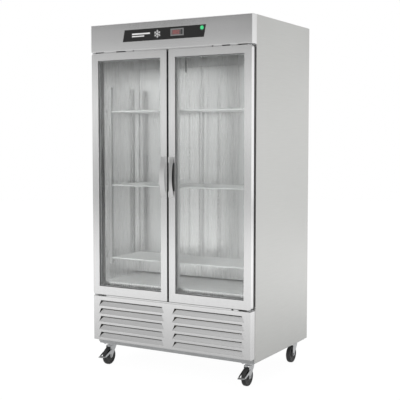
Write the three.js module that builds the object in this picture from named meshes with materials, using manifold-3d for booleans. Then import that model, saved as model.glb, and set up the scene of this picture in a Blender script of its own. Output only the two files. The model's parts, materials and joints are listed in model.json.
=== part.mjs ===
// Two-section reach-in refrigerator with glass doors, on four swivel casters.
//
// Millimetres. +X is the viewer's right, +Y runs from the doors to the back, +Z is up.
// The origin is on the floor, under the middle of the object's outer box.
// Depths are given as distances behind the face plane, which is the front of the doors,
// the header and the grille.
import * as THREE from 'three'
import { mergeVertices } from 'three/addons/utils/BufferGeometryUtils.js'
import Module from 'manifold-3d'

const wasm = await Module()
wasm.setup()

// ---------------------------------------------------------------- driving dimensions

const height = 1980
const width = 1036
const depth = 748
const handleReach = 27
const sheet = 1.5
const gap = 0.3
const both = [-1, 1]
const sideName = { '-1': 'left', 1: 'right' }

const fronts = {
  width: 1030, // over both doors, and over the grille
  depth: 51, // header, doors and grille stand this far in front of the side panels
  baseZ: 159,
  grilleTop: 419,
  doorBottom: 428,
  doorTop: 1820,
  headerBottom: 1826,
}
const sides = { bottom: 136, flange: 7 }
const base = { bottom: 128, top: 158, halfWidth: 508, front: 48, rear: 732, wall: 2 }
const backPanel = { front: 736 }
const vent = { top: 392, rows: 8, pitch: 26, slot: 7, inner: 60, outer: 380 }
const gland = { x: 430, z: 200, radius: 10, nutRadius: 14, clearance: 0.8 }
const frame = { plate: 5, halfWidth: 509.5, bottom: 421, mullion: 70, mullionDepth: 24 }
const cavity = { halfWidth: 463, floor: 500, ceiling: 1915, rear: 686, windowTop: 1790 }
const plenum = { front: 413, returns: 40, bottom: 510, top: 1912, fanZ: 1850, fanHole: 52 }
const light = { halfLength: 430, bottom: 1798, top: 1826, depth: 24 }

const door = {
  thickness: 30,
  innerEdge: 6, // half of the gap between the doors
  glassInner: 47,
  glassOuter: 472,
  glassBottom: 477.5,
  glassTop: 1778,
  cornerOuter: 15,
  cornerInner: 3,
  glassBite: 8,
  glassFront: 8,
  glassThickness: 14,
  pinX: 503,
  pinDepth: 16,
  pinRadius: 4,
  pinLength: 12,
}
const gasket = { inner: 10, outer: 502, bottom: 432, top: 1816, width: 18 }
const hinge = { inner: 488, outer: 513, front: 5, thickness: 3, lift: 1.5, drop: 2 }
const handle = {
  inner: 13,
  outer: 41,
  halfHeight: 113,
  z: 1123,
  innerStand: 14,
  wall: 3,
  pocketHalfHeight: 78,
  stations: 12,
  foot: { inner: 4, outer: 45, thickness: 3 },
}

const louvre = {
  rows: 5,
  pitch: 46.7,
  top: 394,
  height: 34,
  recess: 13,
  centre: 252,
  halfBottom: 225,
  halfTop: 210,
}
const badge = { left: -295, right: 229, slant: 13, bottom: 1875, top: 1940, thickness: 1.2 }
const display = {
  x: 64,
  z: 1910,
  width: 84,
  height: 40,
  bezel: 3,
  bodyWidth: 70,
  bodyHeight: 28,
  bodyDepth: 42,
}
const button = { x: 219, z: 1924, radius: 12, collar: 3, front: -7, rear: 14 }
const cutoutGap = 0.7 // round the display and the button

const shelf = { inner: 12, outer: 445, front: 86, rear: 392, rail: 7, wire: 4, wires: 9, crossRods: 1 }
const shelfNames = ['lower', 'middle', 'upper']
const shelfTops = [640, 1068, 1496]
const pilaster = {
  bottom: 600,
  top: 1632,
  width: 18,
  depth: 11.5,
  front: 100,
  rear: 325,
  frontCentreHalf: 22,
  rearCentreInner: 22,
  rearCentreOuter: 105,
}
const clip = { reach: 16, width: 12, thickness: 3, centreInner: 10, centreOuter: 20, rearCentreX: 96 }

const caster = {
  x: 459,
  frontDepth: 101,
  rearDepth: 680,
  trail: 30,
  wheelRadius: 50.8,
  wheelHalfWidth: 12.5,
  facets: 20,
  axleRadius: 5,
  plateWidth: 64,
  plateLength: 92,
  plateThickness: 4,
  stemRadius: 5,
  stemBottom: 104.5,
  raceTop: 118.5,
  legInner: 15,
  legOuter: 18,
}
const pedal = {
  pivotY: -26,
  pivotZ: 84,
  pinRadius: 3,
  armInner: 18.8,
  armOuter: 21.3,
  toeZ: 55,
  toeThickness: 4,
}

const evaporator = { halfWidth: 330, front: 560, rear: 660, bottom: 1420, top: 1780, fins: 9 }
const condenser = {
  x0: -400,
  x1: -110,
  front: 80,
  rear: 130,
  bottom: 158,
  top: 400,
  fins: 6,
  shroud: 160,
  hole: 100,
}
const finThickness = 3
const evaporatorRotor = { radius: 48, hub: 15, chord: 22 }
const condenserRotor = { radius: 92, hub: 24, chord: 34 }
const compressor = { x: 170, d: 330, radius: 78, floor: 148 }
const drip = { x0: -420, x1: -60, front: 480, rear: 700, height: 52, wall: 3 }

// ---------------------------------------------------------------- values worked out

const faceY = -(depth - handleReach) / 2
const panelX = width / 2
const faceX = fronts.width / 2
const frameRear = fronts.depth + frame.plate
const mullionRear = fronts.depth + frame.mullionDepth
const baseFloor = base.bottom + base.wall
const condenserX = (condenser.x0 + condenser.x1) / 2
const condenserZ = (condenser.bottom + condenser.top) / 2
const casterPlateTop = base.bottom - gap
const casterPlateBottom = casterPlateTop - caster.plateThickness

// ---------------------------------------------------------------- materials

function material(color, roughness, metalness) {
  return new THREE.MeshStandardMaterial({ color, roughness, metalness })
}

const stainless = material(0xc9cac8, 0.35, 0.9)
const linerSteel = material(0xb9bab8, 0.4, 0.85)
const galvanised = material(0x9fa3a4, 0.5, 0.8)
const foamYellow = material(0xd8c98f, 0.95, 0)
const darkPlastic = material(0x1c1d1f, 0.45, 0)
const gasketRubber = material(0x202124, 0.8, 0)
const clearGlass = new THREE.MeshStandardMaterial({
  color: 0xdfe6e4, roughness: 0.05, metalness: 0, transparent: true, opacity: 0.3,
})
const lampGreen = material(0x2bd06a, 0.3, 0)
const whitePlastic = material(0xe9ebea, 0.5, 0)
const shelfWire = material(0xd6d8d7, 0.35, 0.6)
const zinc = material(0xbfc3c6, 0.35, 0.9)
const tyreRubber = material(0x2a2b2d, 0.85, 0)
const blackPaint = material(0x191a1c, 0.5, 0.1)
const finAluminium = material(0xa9a59c, 0.5, 0.7)

// ---------------------------------------------------------------- solids

function toSolid(geometry) {
  const bare = geometry.clone()
  bare.deleteAttribute('normal')
  bare.deleteAttribute('uv')
  const merged = mergeVertices(bare, 1e-4)
  const vertProperties = new Float32Array(merged.attributes.position.array)
  const triVerts = new Uint32Array(merged.index.array)
  return new wasm.Manifold(new wasm.Mesh({ numProp: 3, vertProperties, triVerts }))
}

function toGeometry(solid) {
  const mesh = solid.getMesh()
  const geometry = new THREE.BufferGeometry()
  geometry.setAttribute('position', new THREE.BufferAttribute(mesh.vertProperties, 3))
  geometry.setIndex(new THREE.BufferAttribute(mesh.triVerts, 1))
  return geometry
}

function join(first, ...others) {
  return toGeometry(others.reduce((sum, other) => sum.add(toSolid(other)), toSolid(first)))
}

function cut(first, ...others) {
  return toGeometry(others.reduce((rest, other) => rest.subtract(toSolid(other)), toSolid(first)))
}

// A box between two corners, with its depths behind the face plane.
function box([x0, x1], [d0, d1], [z0, z1]) {
  const geometry = new THREE.BoxGeometry(x1 - x0, d1 - d0, z1 - z0)
  return geometry.translate((x0 + x1) / 2, faceY + (d0 + d1) / 2, (z0 + z1) / 2)
}

// The X range from a to b out from the middle, on the left (-1) or right (1) side.
function spanX(side, a, b) {
  return side < 0 ? [-b, -a] : [a, b]
}

function polygon(points) {
  return new THREE.Shape(points.map(([a, b]) => new THREE.Vector2(a, b)))
}

function extrude(shape, length) {
  return new THREE.ExtrudeGeometry(shape, { depth: length, bevelEnabled: false, curveSegments: 6 })
}

// An outline in X and depth, carried up from z0 to z1.
function planExtrusion(points, z0, z1) {
  const shifted = points.map(([x, d]) => [x, faceY + d])
  return extrude(polygon(shifted), z1 - z0).translate(0, 0, z0)
}

// An outline in Y and Z, carried along X.
function sideExtrusion(shape, x0, x1) {
  const turn = new THREE.Matrix4().makeBasis(
    new THREE.Vector3(0, 1, 0), new THREE.Vector3(0, 0, 1), new THREE.Vector3(1, 0, 0))
  return extrude(shape, x1 - x0).applyMatrix4(turn).translate(x0, 0, 0)
}

// An outline in X and Z, carried back from depth d0 to d1.
function frontExtrusion(shape, d0, d1) {
  return extrude(shape, d1 - d0).rotateX(Math.PI / 2).translate(0, faceY + d1, 0)
}

function cylinder(radius, length, sides) {
  return new THREE.CylinderGeometry(radius, radius, length, sides, 1, false, Math.PI / sides)
}

function uprightCylinder(radius, x, y, z0, z1, sides = 16) {
  return cylinder(radius, z1 - z0, sides).rotateX(Math.PI / 2).translate(x, y, (z0 + z1) / 2)
}

function crossCylinder(radius, x0, x1, y, z, sides = 16) {
  return cylinder(radius, x1 - x0, sides).rotateZ(Math.PI / 2).translate((x0 + x1) / 2, y, z)
}

function depthCylinder(radius, x, d0, d1, z, sides = 16) {
  return cylinder(radius, d1 - d0, sides).translate(x, faceY + (d0 + d1) / 2, z)
}

// ---------------------------------------------------------------- scene graph

const group = new THREE.Group()

function add(name, geometry, skin, parent = group) {
  const mesh = new THREE.Mesh(geometry, skin)
  mesh.name = name
  parent.add(mesh)
  return mesh
}

// ---------------------------------------------------------------- cabinet shell

function sidePanel(side) {
  const [near, far] = [fronts.depth, depth]
  const outer = side * panelX
  const skin = side * (panelX - sheet)
  const lip = side * (panelX - sheet - sides.flange)
  const outline = [
    [outer, near], [outer, far], [lip, far], [lip, far - sheet],
    [skin, far - sheet], [skin, near + sheet], [lip, near + sheet], [lip, near],
  ]
  return planExtrusion(outline, sides.bottom, height)
}

function topPanel() {
  const x = panelX - sheet - gap
  return box([-x, x], [fronts.depth + sheet + gap, backPanel.front - gap], [height - sheet, height])
}

function backSheet() {
  const x = panelX - sheet - gap
  const blank = box([-x, x], [backPanel.front, backPanel.front + sheet], [sides.bottom, height - sheet - gap])
  const through = [backPanel.front - 5, backPanel.front + 5]
  const slots = []
  for (const side of both) {
    for (let row = 0; row < vent.rows; row += 1) {
      const z = vent.top - row * vent.pitch
      slots.push(box(spanX(side, vent.inner, vent.outer), through, [z - vent.slot, z]))
    }
  }
  return cut(blank, ...slots, depthCylinder(gland.radius + gland.clearance, gland.x, ...through, gland.z))
}

function basePan() {
  const x = base.halfWidth
  const shell = box([-x, x], [base.front, base.rear], [base.bottom, base.top])
  const inside = x - base.wall
  const hollow = box(
    [-inside, inside], [base.front + base.wall, base.rear - base.wall], [baseFloor, base.top + 1])
  return cut(shell, hollow)
}

function insulation() {
  const x = panelX - sheet - gap
  const block = box([-x, x], [frameRear + gap, backPanel.front - gap], [frame.bottom, height - sheet - gap])
  const clearance = sheet + gap
  const hollowX = cavity.halfWidth + clearance
  return cut(block, box(
    [-hollowX, hollowX],
    [frameRear - 5, cavity.rear + clearance],
    [cavity.floor - clearance, cavity.ceiling + clearance]))
}

function innerLiner() {
  const x = cavity.halfWidth
  const shell = box(
    [-x - sheet, x + sheet],
    [frameRear + gap, cavity.rear + sheet],
    [cavity.floor - sheet, cavity.ceiling + sheet])
  return cut(shell, box([-x, x], [frameRear - 5, cavity.rear], [cavity.floor, cavity.ceiling]))
}

// The face frame that the gaskets close on, with its centre mullion.
function frontFrame() {
  const plate = box(
    [-frame.halfWidth, frame.halfWidth], [fronts.depth, frameRear], [frame.bottom, height - sheet - gap])
  const half = frame.mullion / 2
  const openings = both.map((side) => box(
    spanX(side, half, cavity.halfWidth), [fronts.depth - 1, frameRear + 1], [cavity.floor, cavity.windowTop]))
  const post = box([-half, half], [frameRear - 1, mullionRear], [cavity.floor + gap, cavity.windowTop])
  return join(cut(plate, ...openings), post)
}

// An open-backed pan with its front sheet on the face plane.
function facePan(halfWidth, z0, z1) {
  const rear = fronts.depth - gap
  const shell = box([-halfWidth, halfWidth], [0, rear], [z0, z1])
  const inside = halfWidth - sheet
  return cut(shell, box([-inside, inside], [sheet, rear + 1], [z0 + sheet, z1 - sheet]))
}

function header() {
  const through = [-1, sheet + 1]
  return cut(
    facePan(panelX, fronts.headerBottom, height),
    box(displayCutX(), through, displayCutZ()),
    depthCylinder(button.radius + cutoutGap, button.x, ...through, button.z, 24))
}

// ---------------------------------------------------------------- louvred grille

// A wedge that is flush at its lower edge and deepest at its upper edge, with slanted ends.
function wedge(x, z0, z1, halfBottom, halfTop, front, deep) {
  const corners = [
    [x - halfBottom, front, z0], [x + halfBottom, front, z0],
    [x + halfTop, front, z1], [x - halfTop, front, z1],
    [x + halfTop, deep, z1], [x - halfTop, deep, z1],
  ]
  const geometry = new THREE.BufferGeometry()
  const positions = corners.flatMap(([px, d, z]) => [px, faceY + d, z])
  geometry.setAttribute('position', new THREE.Float32BufferAttribute(positions, 3))
  geometry.setIndex([0, 1, 2, 0, 2, 3, 3, 2, 4, 3, 4, 5, 1, 0, 5, 1, 5, 4, 0, 3, 5, 1, 4, 2])
  return geometry
}

// Each louvre is a scoop pressed inward, open along its upper edge.
function grillePanel() {
  const scoops = []
  const hollows = []
  for (const side of both) {
    for (let row = 0; row < louvre.rows; row += 1) {
      const x = side * louvre.centre
      const top = louvre.top - row * louvre.pitch
      const bottom = top - louvre.height
      const { halfBottom, halfTop, recess } = louvre
      scoops.push(wedge(x, bottom - 4, top - 1, halfBottom + sheet, halfTop + sheet, 0.5, recess + sheet))
      hollows.push(wedge(x, bottom, top, halfBottom, halfTop, -0.5, recess))
    }
  }
  const pan = facePan(faceX, fronts.baseZ, fronts.grilleTop)
  return cut(join(pan, ...scoops), ...hollows)
}

// ---------------------------------------------------------------- control panel

function displayCutX() {
  const half = display.bodyWidth / 2 + cutoutGap
  return [display.x - half, display.x + half]
}

function displayCutZ() {
  const half = display.bodyHeight / 2 + cutoutGap
  return [display.z - half, display.z + half]
}

function controlBadge() {
  const outline = polygon([
    [badge.left, badge.bottom], [badge.right, badge.bottom],
    [badge.right + badge.slant, badge.top], [badge.left + badge.slant, badge.top],
  ])
  const plate = frontExtrusion(outline, -gap - badge.thickness, -gap)
  return cut(
    plate,
    box(displayCutX(), [-5, 1], displayCutZ()),
    depthCylinder(button.radius + cutoutGap, button.x, -5, 1, button.z, 24))
}

function displayModule() {
  const { x, z, width: bezelWidth, height: bezelHeight, bodyWidth, bodyHeight } = display
  const bezelRear = -2 * gap - badge.thickness
  return join(
    box(
      [x - bezelWidth / 2, x + bezelWidth / 2],
      [bezelRear - display.bezel, bezelRear],
      [z - bezelHeight / 2, z + bezelHeight / 2]),
    box(
      [x - bodyWidth / 2, x + bodyWidth / 2],
      [bezelRear - 1, display.bodyDepth],
      [z - bodyHeight / 2, z + bodyHeight / 2]))
}

function powerButton() {
  return join(
    depthCylinder(button.radius, button.x, button.front, button.rear, button.z, 24),
    depthCylinder(button.radius + button.collar, button.x, sheet + gap, sheet + gap + 2, button.z, 24))
}

// ---------------------------------------------------------------- doors

function doorOutline(side) {
  const [x0, x1] = [door.innerEdge, faceX]
  const [z0, z1] = [fronts.doorBottom, fronts.doorTop]
  const small = door.cornerInner
  const large = door.cornerOuter
  const shape = new THREE.Shape()
  shape.moveTo(side * (x0 + small), z0)
  shape.lineTo(side * (x1 - large), z0)
  shape.quadraticCurveTo(side * x1, z0, side * x1, z0 + large)
  shape.lineTo(side * x1, z1 - large)
  shape.quadraticCurveTo(side * x1, z1, side * (x1 - large), z1)
  shape.lineTo(side * (x0 + small), z1)
  shape.lineTo(side * x0, z1 - small)
  shape.lineTo(side * x0, z0 + small)
  return shape
}

function doorFrame(side) {
  const { glassInner, glassOuter, glassBottom, glassTop, glassBite: bite } = door
  const slot = [door.glassFront - 0.5, door.glassFront + door.glassThickness + 0.5]
  const pinHole = (z0, z1) => uprightCylinder(
    door.pinRadius + 0.4, side * door.pinX, faceY + door.pinDepth, z0, z1)
  return cut(
    frontExtrusion(doorOutline(side), 0, door.thickness),
    box(spanX(side, glassInner, glassOuter), [-1, door.thickness + 1], [glassBottom, glassTop]),
    box(spanX(side, glassInner - bite, glassOuter + bite), slot, [glassBottom - bite, glassTop + bite]),
    pinHole(fronts.doorBottom - 1, fronts.doorBottom + door.pinLength + 1),
    pinHole(fronts.doorTop - door.pinLength - 1, fronts.doorTop + 1))
}

function doorGlass(side) {
  const bite = door.glassBite - 0.5
  return box(
    spanX(side, door.glassInner - bite, door.glassOuter + bite),
    [door.glassFront, door.glassFront + door.glassThickness],
    [door.glassBottom - bite, door.glassTop + bite])
}

function doorGasket(side) {
  const [d0, d1] = [door.thickness + gap, fronts.depth - 0.6]
  const { inner, outer, bottom, top, width: lip } = gasket
  return cut(
    box(spanX(side, inner, outer), [d0, d1], [bottom, top]),
    box(spanX(side, inner + lip, outer - lip), [d0 - 1, d1 + 1], [bottom + lip, top - lip]))
}

// A solid through rings of equally many points, which run round it leftward as seen from its start.
function loft(rings) {
  const count = rings[0].length
  const last = (rings.length - 1) * count
  const index = []
  for (let start = 0; start < last; start += count) {
    for (let i = 0; i < count; i += 1) {
      const next = (i + 1) % count
      index.push(start + i, start + next, start + count + next)
      index.push(start + i, start + count + next, start + count + i)
    }
  }
  for (let i = 1; i + 1 < count; i += 1) {
    index.push(0, i + 1, i)
    index.push(last, last + i, last + i + 1)
  }
  const geometry = new THREE.BufferGeometry()
  geometry.setAttribute('position', new THREE.Float32BufferAttribute(rings.flat(2), 3))
  geometry.setIndex(index)
  return geometry
}

// A bow over the door face: it stands out by low at its inner side and by high at its outer side.
function bow(side, [inner, outer], [low, high], halfHeight, rear) {
  const rings = []
  for (let i = 0; i <= handle.stations; i += 1) {
    const along = (2 * i) / handle.stations - 1
    const swell = Math.max(1 - along * along, 0.04)
    const z = handle.z + halfHeight * along
    const ring = [
      [side * inner, rear, z],
      [side * outer, rear, z],
      [side * outer, faceY - gap - high * swell, z],
      [side * inner, faceY - gap - low * swell, z],
    ]
    rings.push(side > 0 ? ring.reverse() : ring)
  }
  return loft(rings)
}

// The pull is a bowed scoop on two feet, closed towards the other door and open towards the glass.
function doorHandle(side) {
  const { inner, outer, wall, innerStand, foot } = handle
  const stands = [innerStand - gap, handleReach - gap]
  const rear = faceY - gap
  const shell = bow(side, [inner, outer], stands, handle.halfHeight, rear)
  const hollow = bow(
    side, [inner + wall, outer + 1], stands.map((stand) => stand - wall), handle.pocketHalfHeight, rear + 1)
  const feet = both.map((end) => {
    const z = [handle.pocketHalfHeight, handle.halfHeight].map((way) => handle.z + end * way)
    return box(spanX(side, foot.inner, foot.outer), [-foot.thickness - gap, -gap], z.sort((a, b) => a - b))
  })
  return join(cut(shell, hollow), ...feet)
}

// A plate hinge is a tongue between door and cabinet that carries the pin.
function plateHinge(side, plateZ, pinZ) {
  return join(
    box(spanX(side, hinge.inner, hinge.outer), [hinge.front, fronts.depth - gap], plateZ),
    uprightCylinder(door.pinRadius, side * door.pinX, faceY + door.pinDepth, ...pinZ))
}

function topHinge(side) {
  const plate = fronts.doorTop + hinge.lift
  return plateHinge(side, [plate, plate + hinge.thickness], [fronts.doorTop - door.pinLength, plate + 1])
}

function bottomHinge(side) {
  const plate = fronts.doorBottom - hinge.drop
  return plateHinge(side, [plate - hinge.thickness, plate], [plate - 1, fronts.doorBottom + door.pinLength])
}

function addDoor(side) {
  const name = sideName[side]
  add(`${name}_door_frame`, doorFrame(side), stainless)
  add(`${name}_door_glass`, doorGlass(side), clearGlass)
  add(`${name}_door_gasket`, doorGasket(side), gasketRubber)
  add(`${name}_door_handle`, doorHandle(side), stainless)
  add(`${name}_top_hinge`, topHinge(side), zinc)
  add(`${name}_bottom_hinge`, bottomHinge(side), zinc)
}

// ---------------------------------------------------------------- shelves and pilasters

// Round wire is drawn square here: a frame, cross rods under it and wires on top.
function wireShelf(side, top) {
  const { inner, outer, front, rear, rail, wire } = shelf
  const railZ = [top - wire / 2 - rail, top - wire / 2]
  const rim = cut(
    box(spanX(side, inner, outer), [front, rear], railZ),
    box(spanX(side, inner + rail, outer - rail), [front + rail, rear - rail], [railZ[0] - 1, railZ[1] + 1]))
  const rods = []
  for (let i = 1; i <= shelf.crossRods; i += 1) {
    const d = front + (rear - front) * i / (shelf.crossRods + 1)
    rods.push(box(
      spanX(side, inner + 1, outer - 1), [d - wire / 2, d + wire / 2], [railZ[1] - wire - 1, railZ[1] - 1]))
  }
  for (let i = 0; i < shelf.wires; i += 1) {
    const x = inner + rail + (outer - inner - 2 * rail) * (i + 0.5) / shelf.wires
    rods.push(box(spanX(side, x - wire / 2, x + wire / 2), [front + 1, rear - 1], [top - wire, top]))
  }
  return join(rim, ...rods)
}

function clipHeights() {
  return shelfTops.map((top) => {
    const ledge = top - shelf.wire / 2 - shelf.rail - gap
    return [ledge - clip.thickness, ledge]
  })
}

// A slotted upright is a hollow channel, open towards the wall it is screwed to.
function upright(xRange, dRange, hollowX, hollowD) {
  const z = [pilaster.bottom, pilaster.top]
  return cut(box(xRange, dRange, z), box(hollowX, hollowD, [z[0] - 1, z[1] + 1]))
}

// Both upright and clips of one column are one solid, because a clip hooks into its slots.
function sidePilaster(side, front) {
  const wall = cavity.halfWidth - gap
  const face = wall - pilaster.depth
  const [d0, d1] = [front, front + pilaster.width]
  const channel = upright(
    spanX(side, face, wall), [d0, d1], spanX(side, face + sheet, wall + 1), [d0 + sheet, d1 - sheet])
  const middle = (d0 + d1) / 2
  const clips = clipHeights().map((z) => box(
    spanX(side, face - clip.reach, face + 1), [middle - clip.width / 2, middle + clip.width / 2], z))
  return join(channel, ...clips)
}

function frontCentrePilaster() {
  const [d0, d1] = [mullionRear + gap, shelf.front - 2]
  const half = pilaster.frontCentreHalf
  const channel = upright([-half, half], [d0, d1], [-half + sheet, half - sheet], [d0 - 1, d1 - sheet])
  const clips = clipHeights().flatMap((z) => both.map((side) => box(
    spanX(side, clip.centreInner, clip.centreOuter), [d1 - 1, d1 + clip.reach], z)))
  return join(channel, ...clips)
}

// Two channels on one back strip carry the inner rear corners of both bays.
function rearCentrePilaster() {
  const [d0, d1] = [plenum.front - gap - pilaster.depth, plenum.front - gap]
  const z = [pilaster.bottom, pilaster.top]
  const { rearCentreInner: inner, rearCentreOuter: outer } = pilaster
  const strip = box([-inner - 2, inner + 2], [d1 - sheet, d1], z)
  const channels = both.map((side) => upright(
    spanX(side, inner, outer), [d0, d1], spanX(side, inner + sheet, outer - sheet), [d0 + sheet, d1 + 1]))
  const clipX = (side) => spanX(side, clip.rearCentreX - clip.width / 2, clip.rearCentreX + clip.width / 2)
  const clipD = [d0 - clip.reach, d0 + 1]
  const clips = clipHeights().flatMap((height) => both.map((side) => box(clipX(side), clipD, height)))
  return join(strip, ...channels, ...clips)
}

function addShelving() {
  for (const side of both) {
    const name = sideName[side]
    add(`front_${name}_pilaster`, sidePilaster(side, pilaster.front), linerSteel)
    add(`rear_${name}_pilaster`, sidePilaster(side, pilaster.rear), linerSteel)
    shelfNames.forEach((level, i) => add(`${name}_${level}_shelf`, wireShelf(side, shelfTops[i]), shelfWire))
  }
  add('front_centre_pilaster', frontCentrePilaster(), linerSteel)
  add('rear_centre_pilaster', rearCentrePilaster(), linerSteel)
}

// ---------------------------------------------------------------- refrigeration

// A rotor about +Y: a hub with flat blades set at a pitch.
function fanRotor({ radius, hub, chord }) {
  const blades = 5
  const root = hub - 4
  const parts = []
  for (let i = 0; i < blades; i += 1) {
    const blade = new THREE.BoxGeometry(radius - root, 2, chord)
    blade.rotateX(Math.PI / 5).translate((radius + root) / 2, 0, 0)
    parts.push(blade.rotateY(2 * Math.PI * i / blades))
  }
  return join(cylinder(hub, chord * 0.6, 12), ...parts)
}

// A motor held behind a hole by a bar on two posts that stand on the plate round the hole.
function motorMount(x, z, plateRear, halfSpan, motorFront, motorRadius) {
  const motorRear = motorFront + motorRadius * 1.4
  return [
    depthCylinder(motorRadius, x, motorFront, motorRear, z, 12),
    box([x - halfSpan, x + halfSpan], [motorRear - 4, motorRear - 1], [z - 8, z + 8]),
    ...both.map((side) => box(
      [x + side * halfSpan - 3, x + side * halfSpan + 3], [plateRear - 1, motorRear], [z - 9, z + 9])),
  ]
}

function plenumPanel() {
  const x = cavity.halfWidth - gap
  const skin = x - sheet
  const rear = plenum.front + sheet
  const returnRear = plenum.front + plenum.returns
  const outline = [
    [-x, plenum.front], [x, plenum.front], [x, returnRear], [skin, returnRear],
    [skin, rear], [-skin, rear], [-skin, returnRear], [-x, returnRear],
  ]
  const plate = cut(
    planExtrusion(outline, plenum.bottom, plenum.top),
    depthCylinder(plenum.fanHole, 0, plenum.front - 1, rear + 1, plenum.fanZ, 20))
  return join(plate, ...motorMount(0, plenum.fanZ, rear, plenum.fanHole + 6, rear + 32, 18))
}

// Fins threaded on two banks of tubes, each bank drawn as one plate.
function finnedCoil([x0, x1], [d0, d1], [z0, z1], fins) {
  const plates = []
  for (let i = 0; i <= fins; i += 1) {
    const x = x0 + (x1 - x0 - finThickness) * i / fins
    plates.push(box([x, x + finThickness], [d0, d1], [z0, z1]))
  }
  const bank = (part) => {
    const middle = d0 + (d1 - d0) * part
    return box([x0 + 1, x1 - 1], [middle - 4, middle + 4], [z0 + 12, z1 - 12])
  }
  return join(bank(1 / 3), ...plates, bank(2 / 3))
}

function evaporatorCoil() {
  const e = evaporator
  return finnedCoil([-e.halfWidth, e.halfWidth], [e.front, e.rear], [e.bottom, e.top], e.fins)
}

// The coil with its fan shroud, standing on two feet in the base pan.
function condenserCoil() {
  const c = condenser
  const coil = finnedCoil([c.x0, c.x1], [c.front, c.rear], [c.bottom, c.top], c.fins)
  const shroud = cut(
    box([c.x0, c.x1], [c.rear - 1, c.shroud], [c.bottom, c.top]),
    box([c.x0 + 3, c.x1 - 3], [c.rear - 2, c.shroud - 3], [c.bottom + 3, c.top - 3]),
    depthCylinder(c.hole, condenserX, c.shroud - 4, c.shroud + 1, condenserZ, 20))
  const feet = [c.x0 + 20, c.x1 - 50].map((x) => box(
    [x, x + 30], [c.front + 10, c.rear - 10], [baseFloor + gap, c.bottom + 1]))
  const motor = motorMount(condenserX, condenserZ, c.shroud, c.hole + 8, c.shroud + 36, 30)
  return join(coil, shroud, ...feet, ...motor)
}

function compressorPot() {
  const { x, d, radius, floor } = compressor
  const profile = [
    [0, 0], [radius * 0.7, 0], [radius * 0.97, 26], [radius, 60], [radius, 118],
    [radius * 0.93, 148], [radius * 0.66, 172], [radius * 0.3, 184], [0, 187],
  ].map(([r, rise]) => new THREE.Vector2(r, rise))
  const pot = new THREE.LatheGeometry(profile, 16).rotateX(Math.PI / 2)
  pot.translate(x, faceY + d, floor)
  const plate = box([x - 105, x + 105], [d - 70, d + 70], [floor - 6, floor + 1])
  const feet = both.flatMap((sx) => both.map((sy) => uprightCylinder(
    12, x + sx * 88, faceY + d + sy * 54, baseFloor + gap, floor - 5, 12)))
  return join(pot, plate, ...feet)
}

function condensatePan() {
  const { x0, x1, front, rear, wall } = drip
  const bottom = baseFloor + gap
  const top = bottom + drip.height
  return cut(
    box([x0, x1], [front, rear], [bottom, top]),
    box([x0 + wall, x1 - wall], [front + wall, rear - wall], [bottom + wall, top + 1]))
}

function cordGland() {
  return join(
    depthCylinder(gland.radius, gland.x, backPanel.front - 8, depth - 1.5, gland.z),
    depthCylinder(gland.nutRadius, gland.x, backPanel.front + sheet + gap, backPanel.front + 6, gland.z, 6))
}

// A lamp cover with chamfered edges, fixed to the back of the face frame over both doors.
function lightBar() {
  const near = faceY + frameRear + gap
  const far = near + light.depth
  const chamfer = 6
  const outline = polygon([
    [near, light.bottom], [far - chamfer, light.bottom + 3], [far, light.bottom + chamfer + 6],
    [far, light.top - chamfer], [far - chamfer, light.top], [near, light.top],
  ])
  return sideExtrusion(outline, -light.halfLength, light.halfLength)
}

function addFans() {
  const evaporatorFan = add('evaporator_fan', fanRotor(evaporatorRotor), whitePlastic)
  evaporatorFan.position.set(0, faceY + plenum.front + sheet + 19, plenum.fanZ)
  const condenserFan = add('condenser_fan', fanRotor(condenserRotor), blackPaint)
  condenserFan.position.set(condenserX, faceY + condenser.shroud + 18, condenserZ)
}

// ---------------------------------------------------------------- casters

// The swivel axis is the caster's own Z axis; the wheel trails towards the doors.
function casterPlate() {
  const { stemRadius, stemBottom, raceTop } = caster
  const plate = new THREE.BoxGeometry(caster.plateWidth, caster.plateLength, caster.plateThickness)
  plate.translate(0, 0, (casterPlateBottom + casterPlateTop) / 2)
  const race = uprightCylinder(24, 0, 0, raceTop + 0.7, casterPlateBottom + 1, 20)
  const stem = uprightCylinder(stemRadius, 0, 0, stemBottom, raceTop + 1, 12)
  const nut = uprightCylinder(stemRadius + 3, 0, 0, stemBottom - 1, stemBottom + 2.5, 12)
  return join(plate, race, stem, nut)
}

function casterFork(withBrake) {
  const leg = polygon([
    [-32, 113], [22, 113], [18, 100], [-20, 46], [-25, 42], [-30, 40.5], [-36, 42.5], [-41, 50], [-41, 60],
  ])
  const { legInner, legOuter, raceTop, trail, wheelRadius } = caster
  const legs = both.map((side) => sideExtrusion(leg, ...spanX(side, legInner, legOuter)))
  const bridge = new THREE.BoxGeometry(2 * legOuter, 54, 4).translate(0, -5, 111)
  const race = uprightCylinder(22, 0, 0, 112.5, raceTop, 20)
  const axle = crossCylinder(caster.axleRadius, -legOuter - 2, legOuter + 2, -trail, wheelRadius, 12)
  const pins = both.map((side) => crossCylinder(
    pedal.pinRadius, ...spanX(side, legOuter - 1, pedal.armOuter + 1.1), pedal.pivotY, pedal.pivotZ, 12))
  const body = join(bridge, ...legs, race, axle, ...(withBrake ? pins : []))
  return cut(body, uprightCylinder(caster.stemRadius + 0.8, 0, 0, 100, raceTop + 1, 12))
}

function casterWheel() {
  const { wheelRadius, wheelHalfWidth: half, facets, axleRadius } = caster
  const corner = wheelRadius / Math.cos(Math.PI / facets)
  const side = [[axleRadius + 0.6, 14], [18, 14], [22, 9], [38, 9], [41, half], [corner, half]]
  const outline = [...side.map(([r, x]) => [r, -x]), ...side.toReversed(), [side[0][0], -side[0][1]]]
  const profile = outline.map(([r, x]) => new THREE.Vector2(r, x))
  const wheel = new THREE.LatheGeometry(profile, facets, Math.PI / facets)
  return wheel.rotateZ(-Math.PI / 2).translate(0, -caster.trail, wheelRadius)
}

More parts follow.
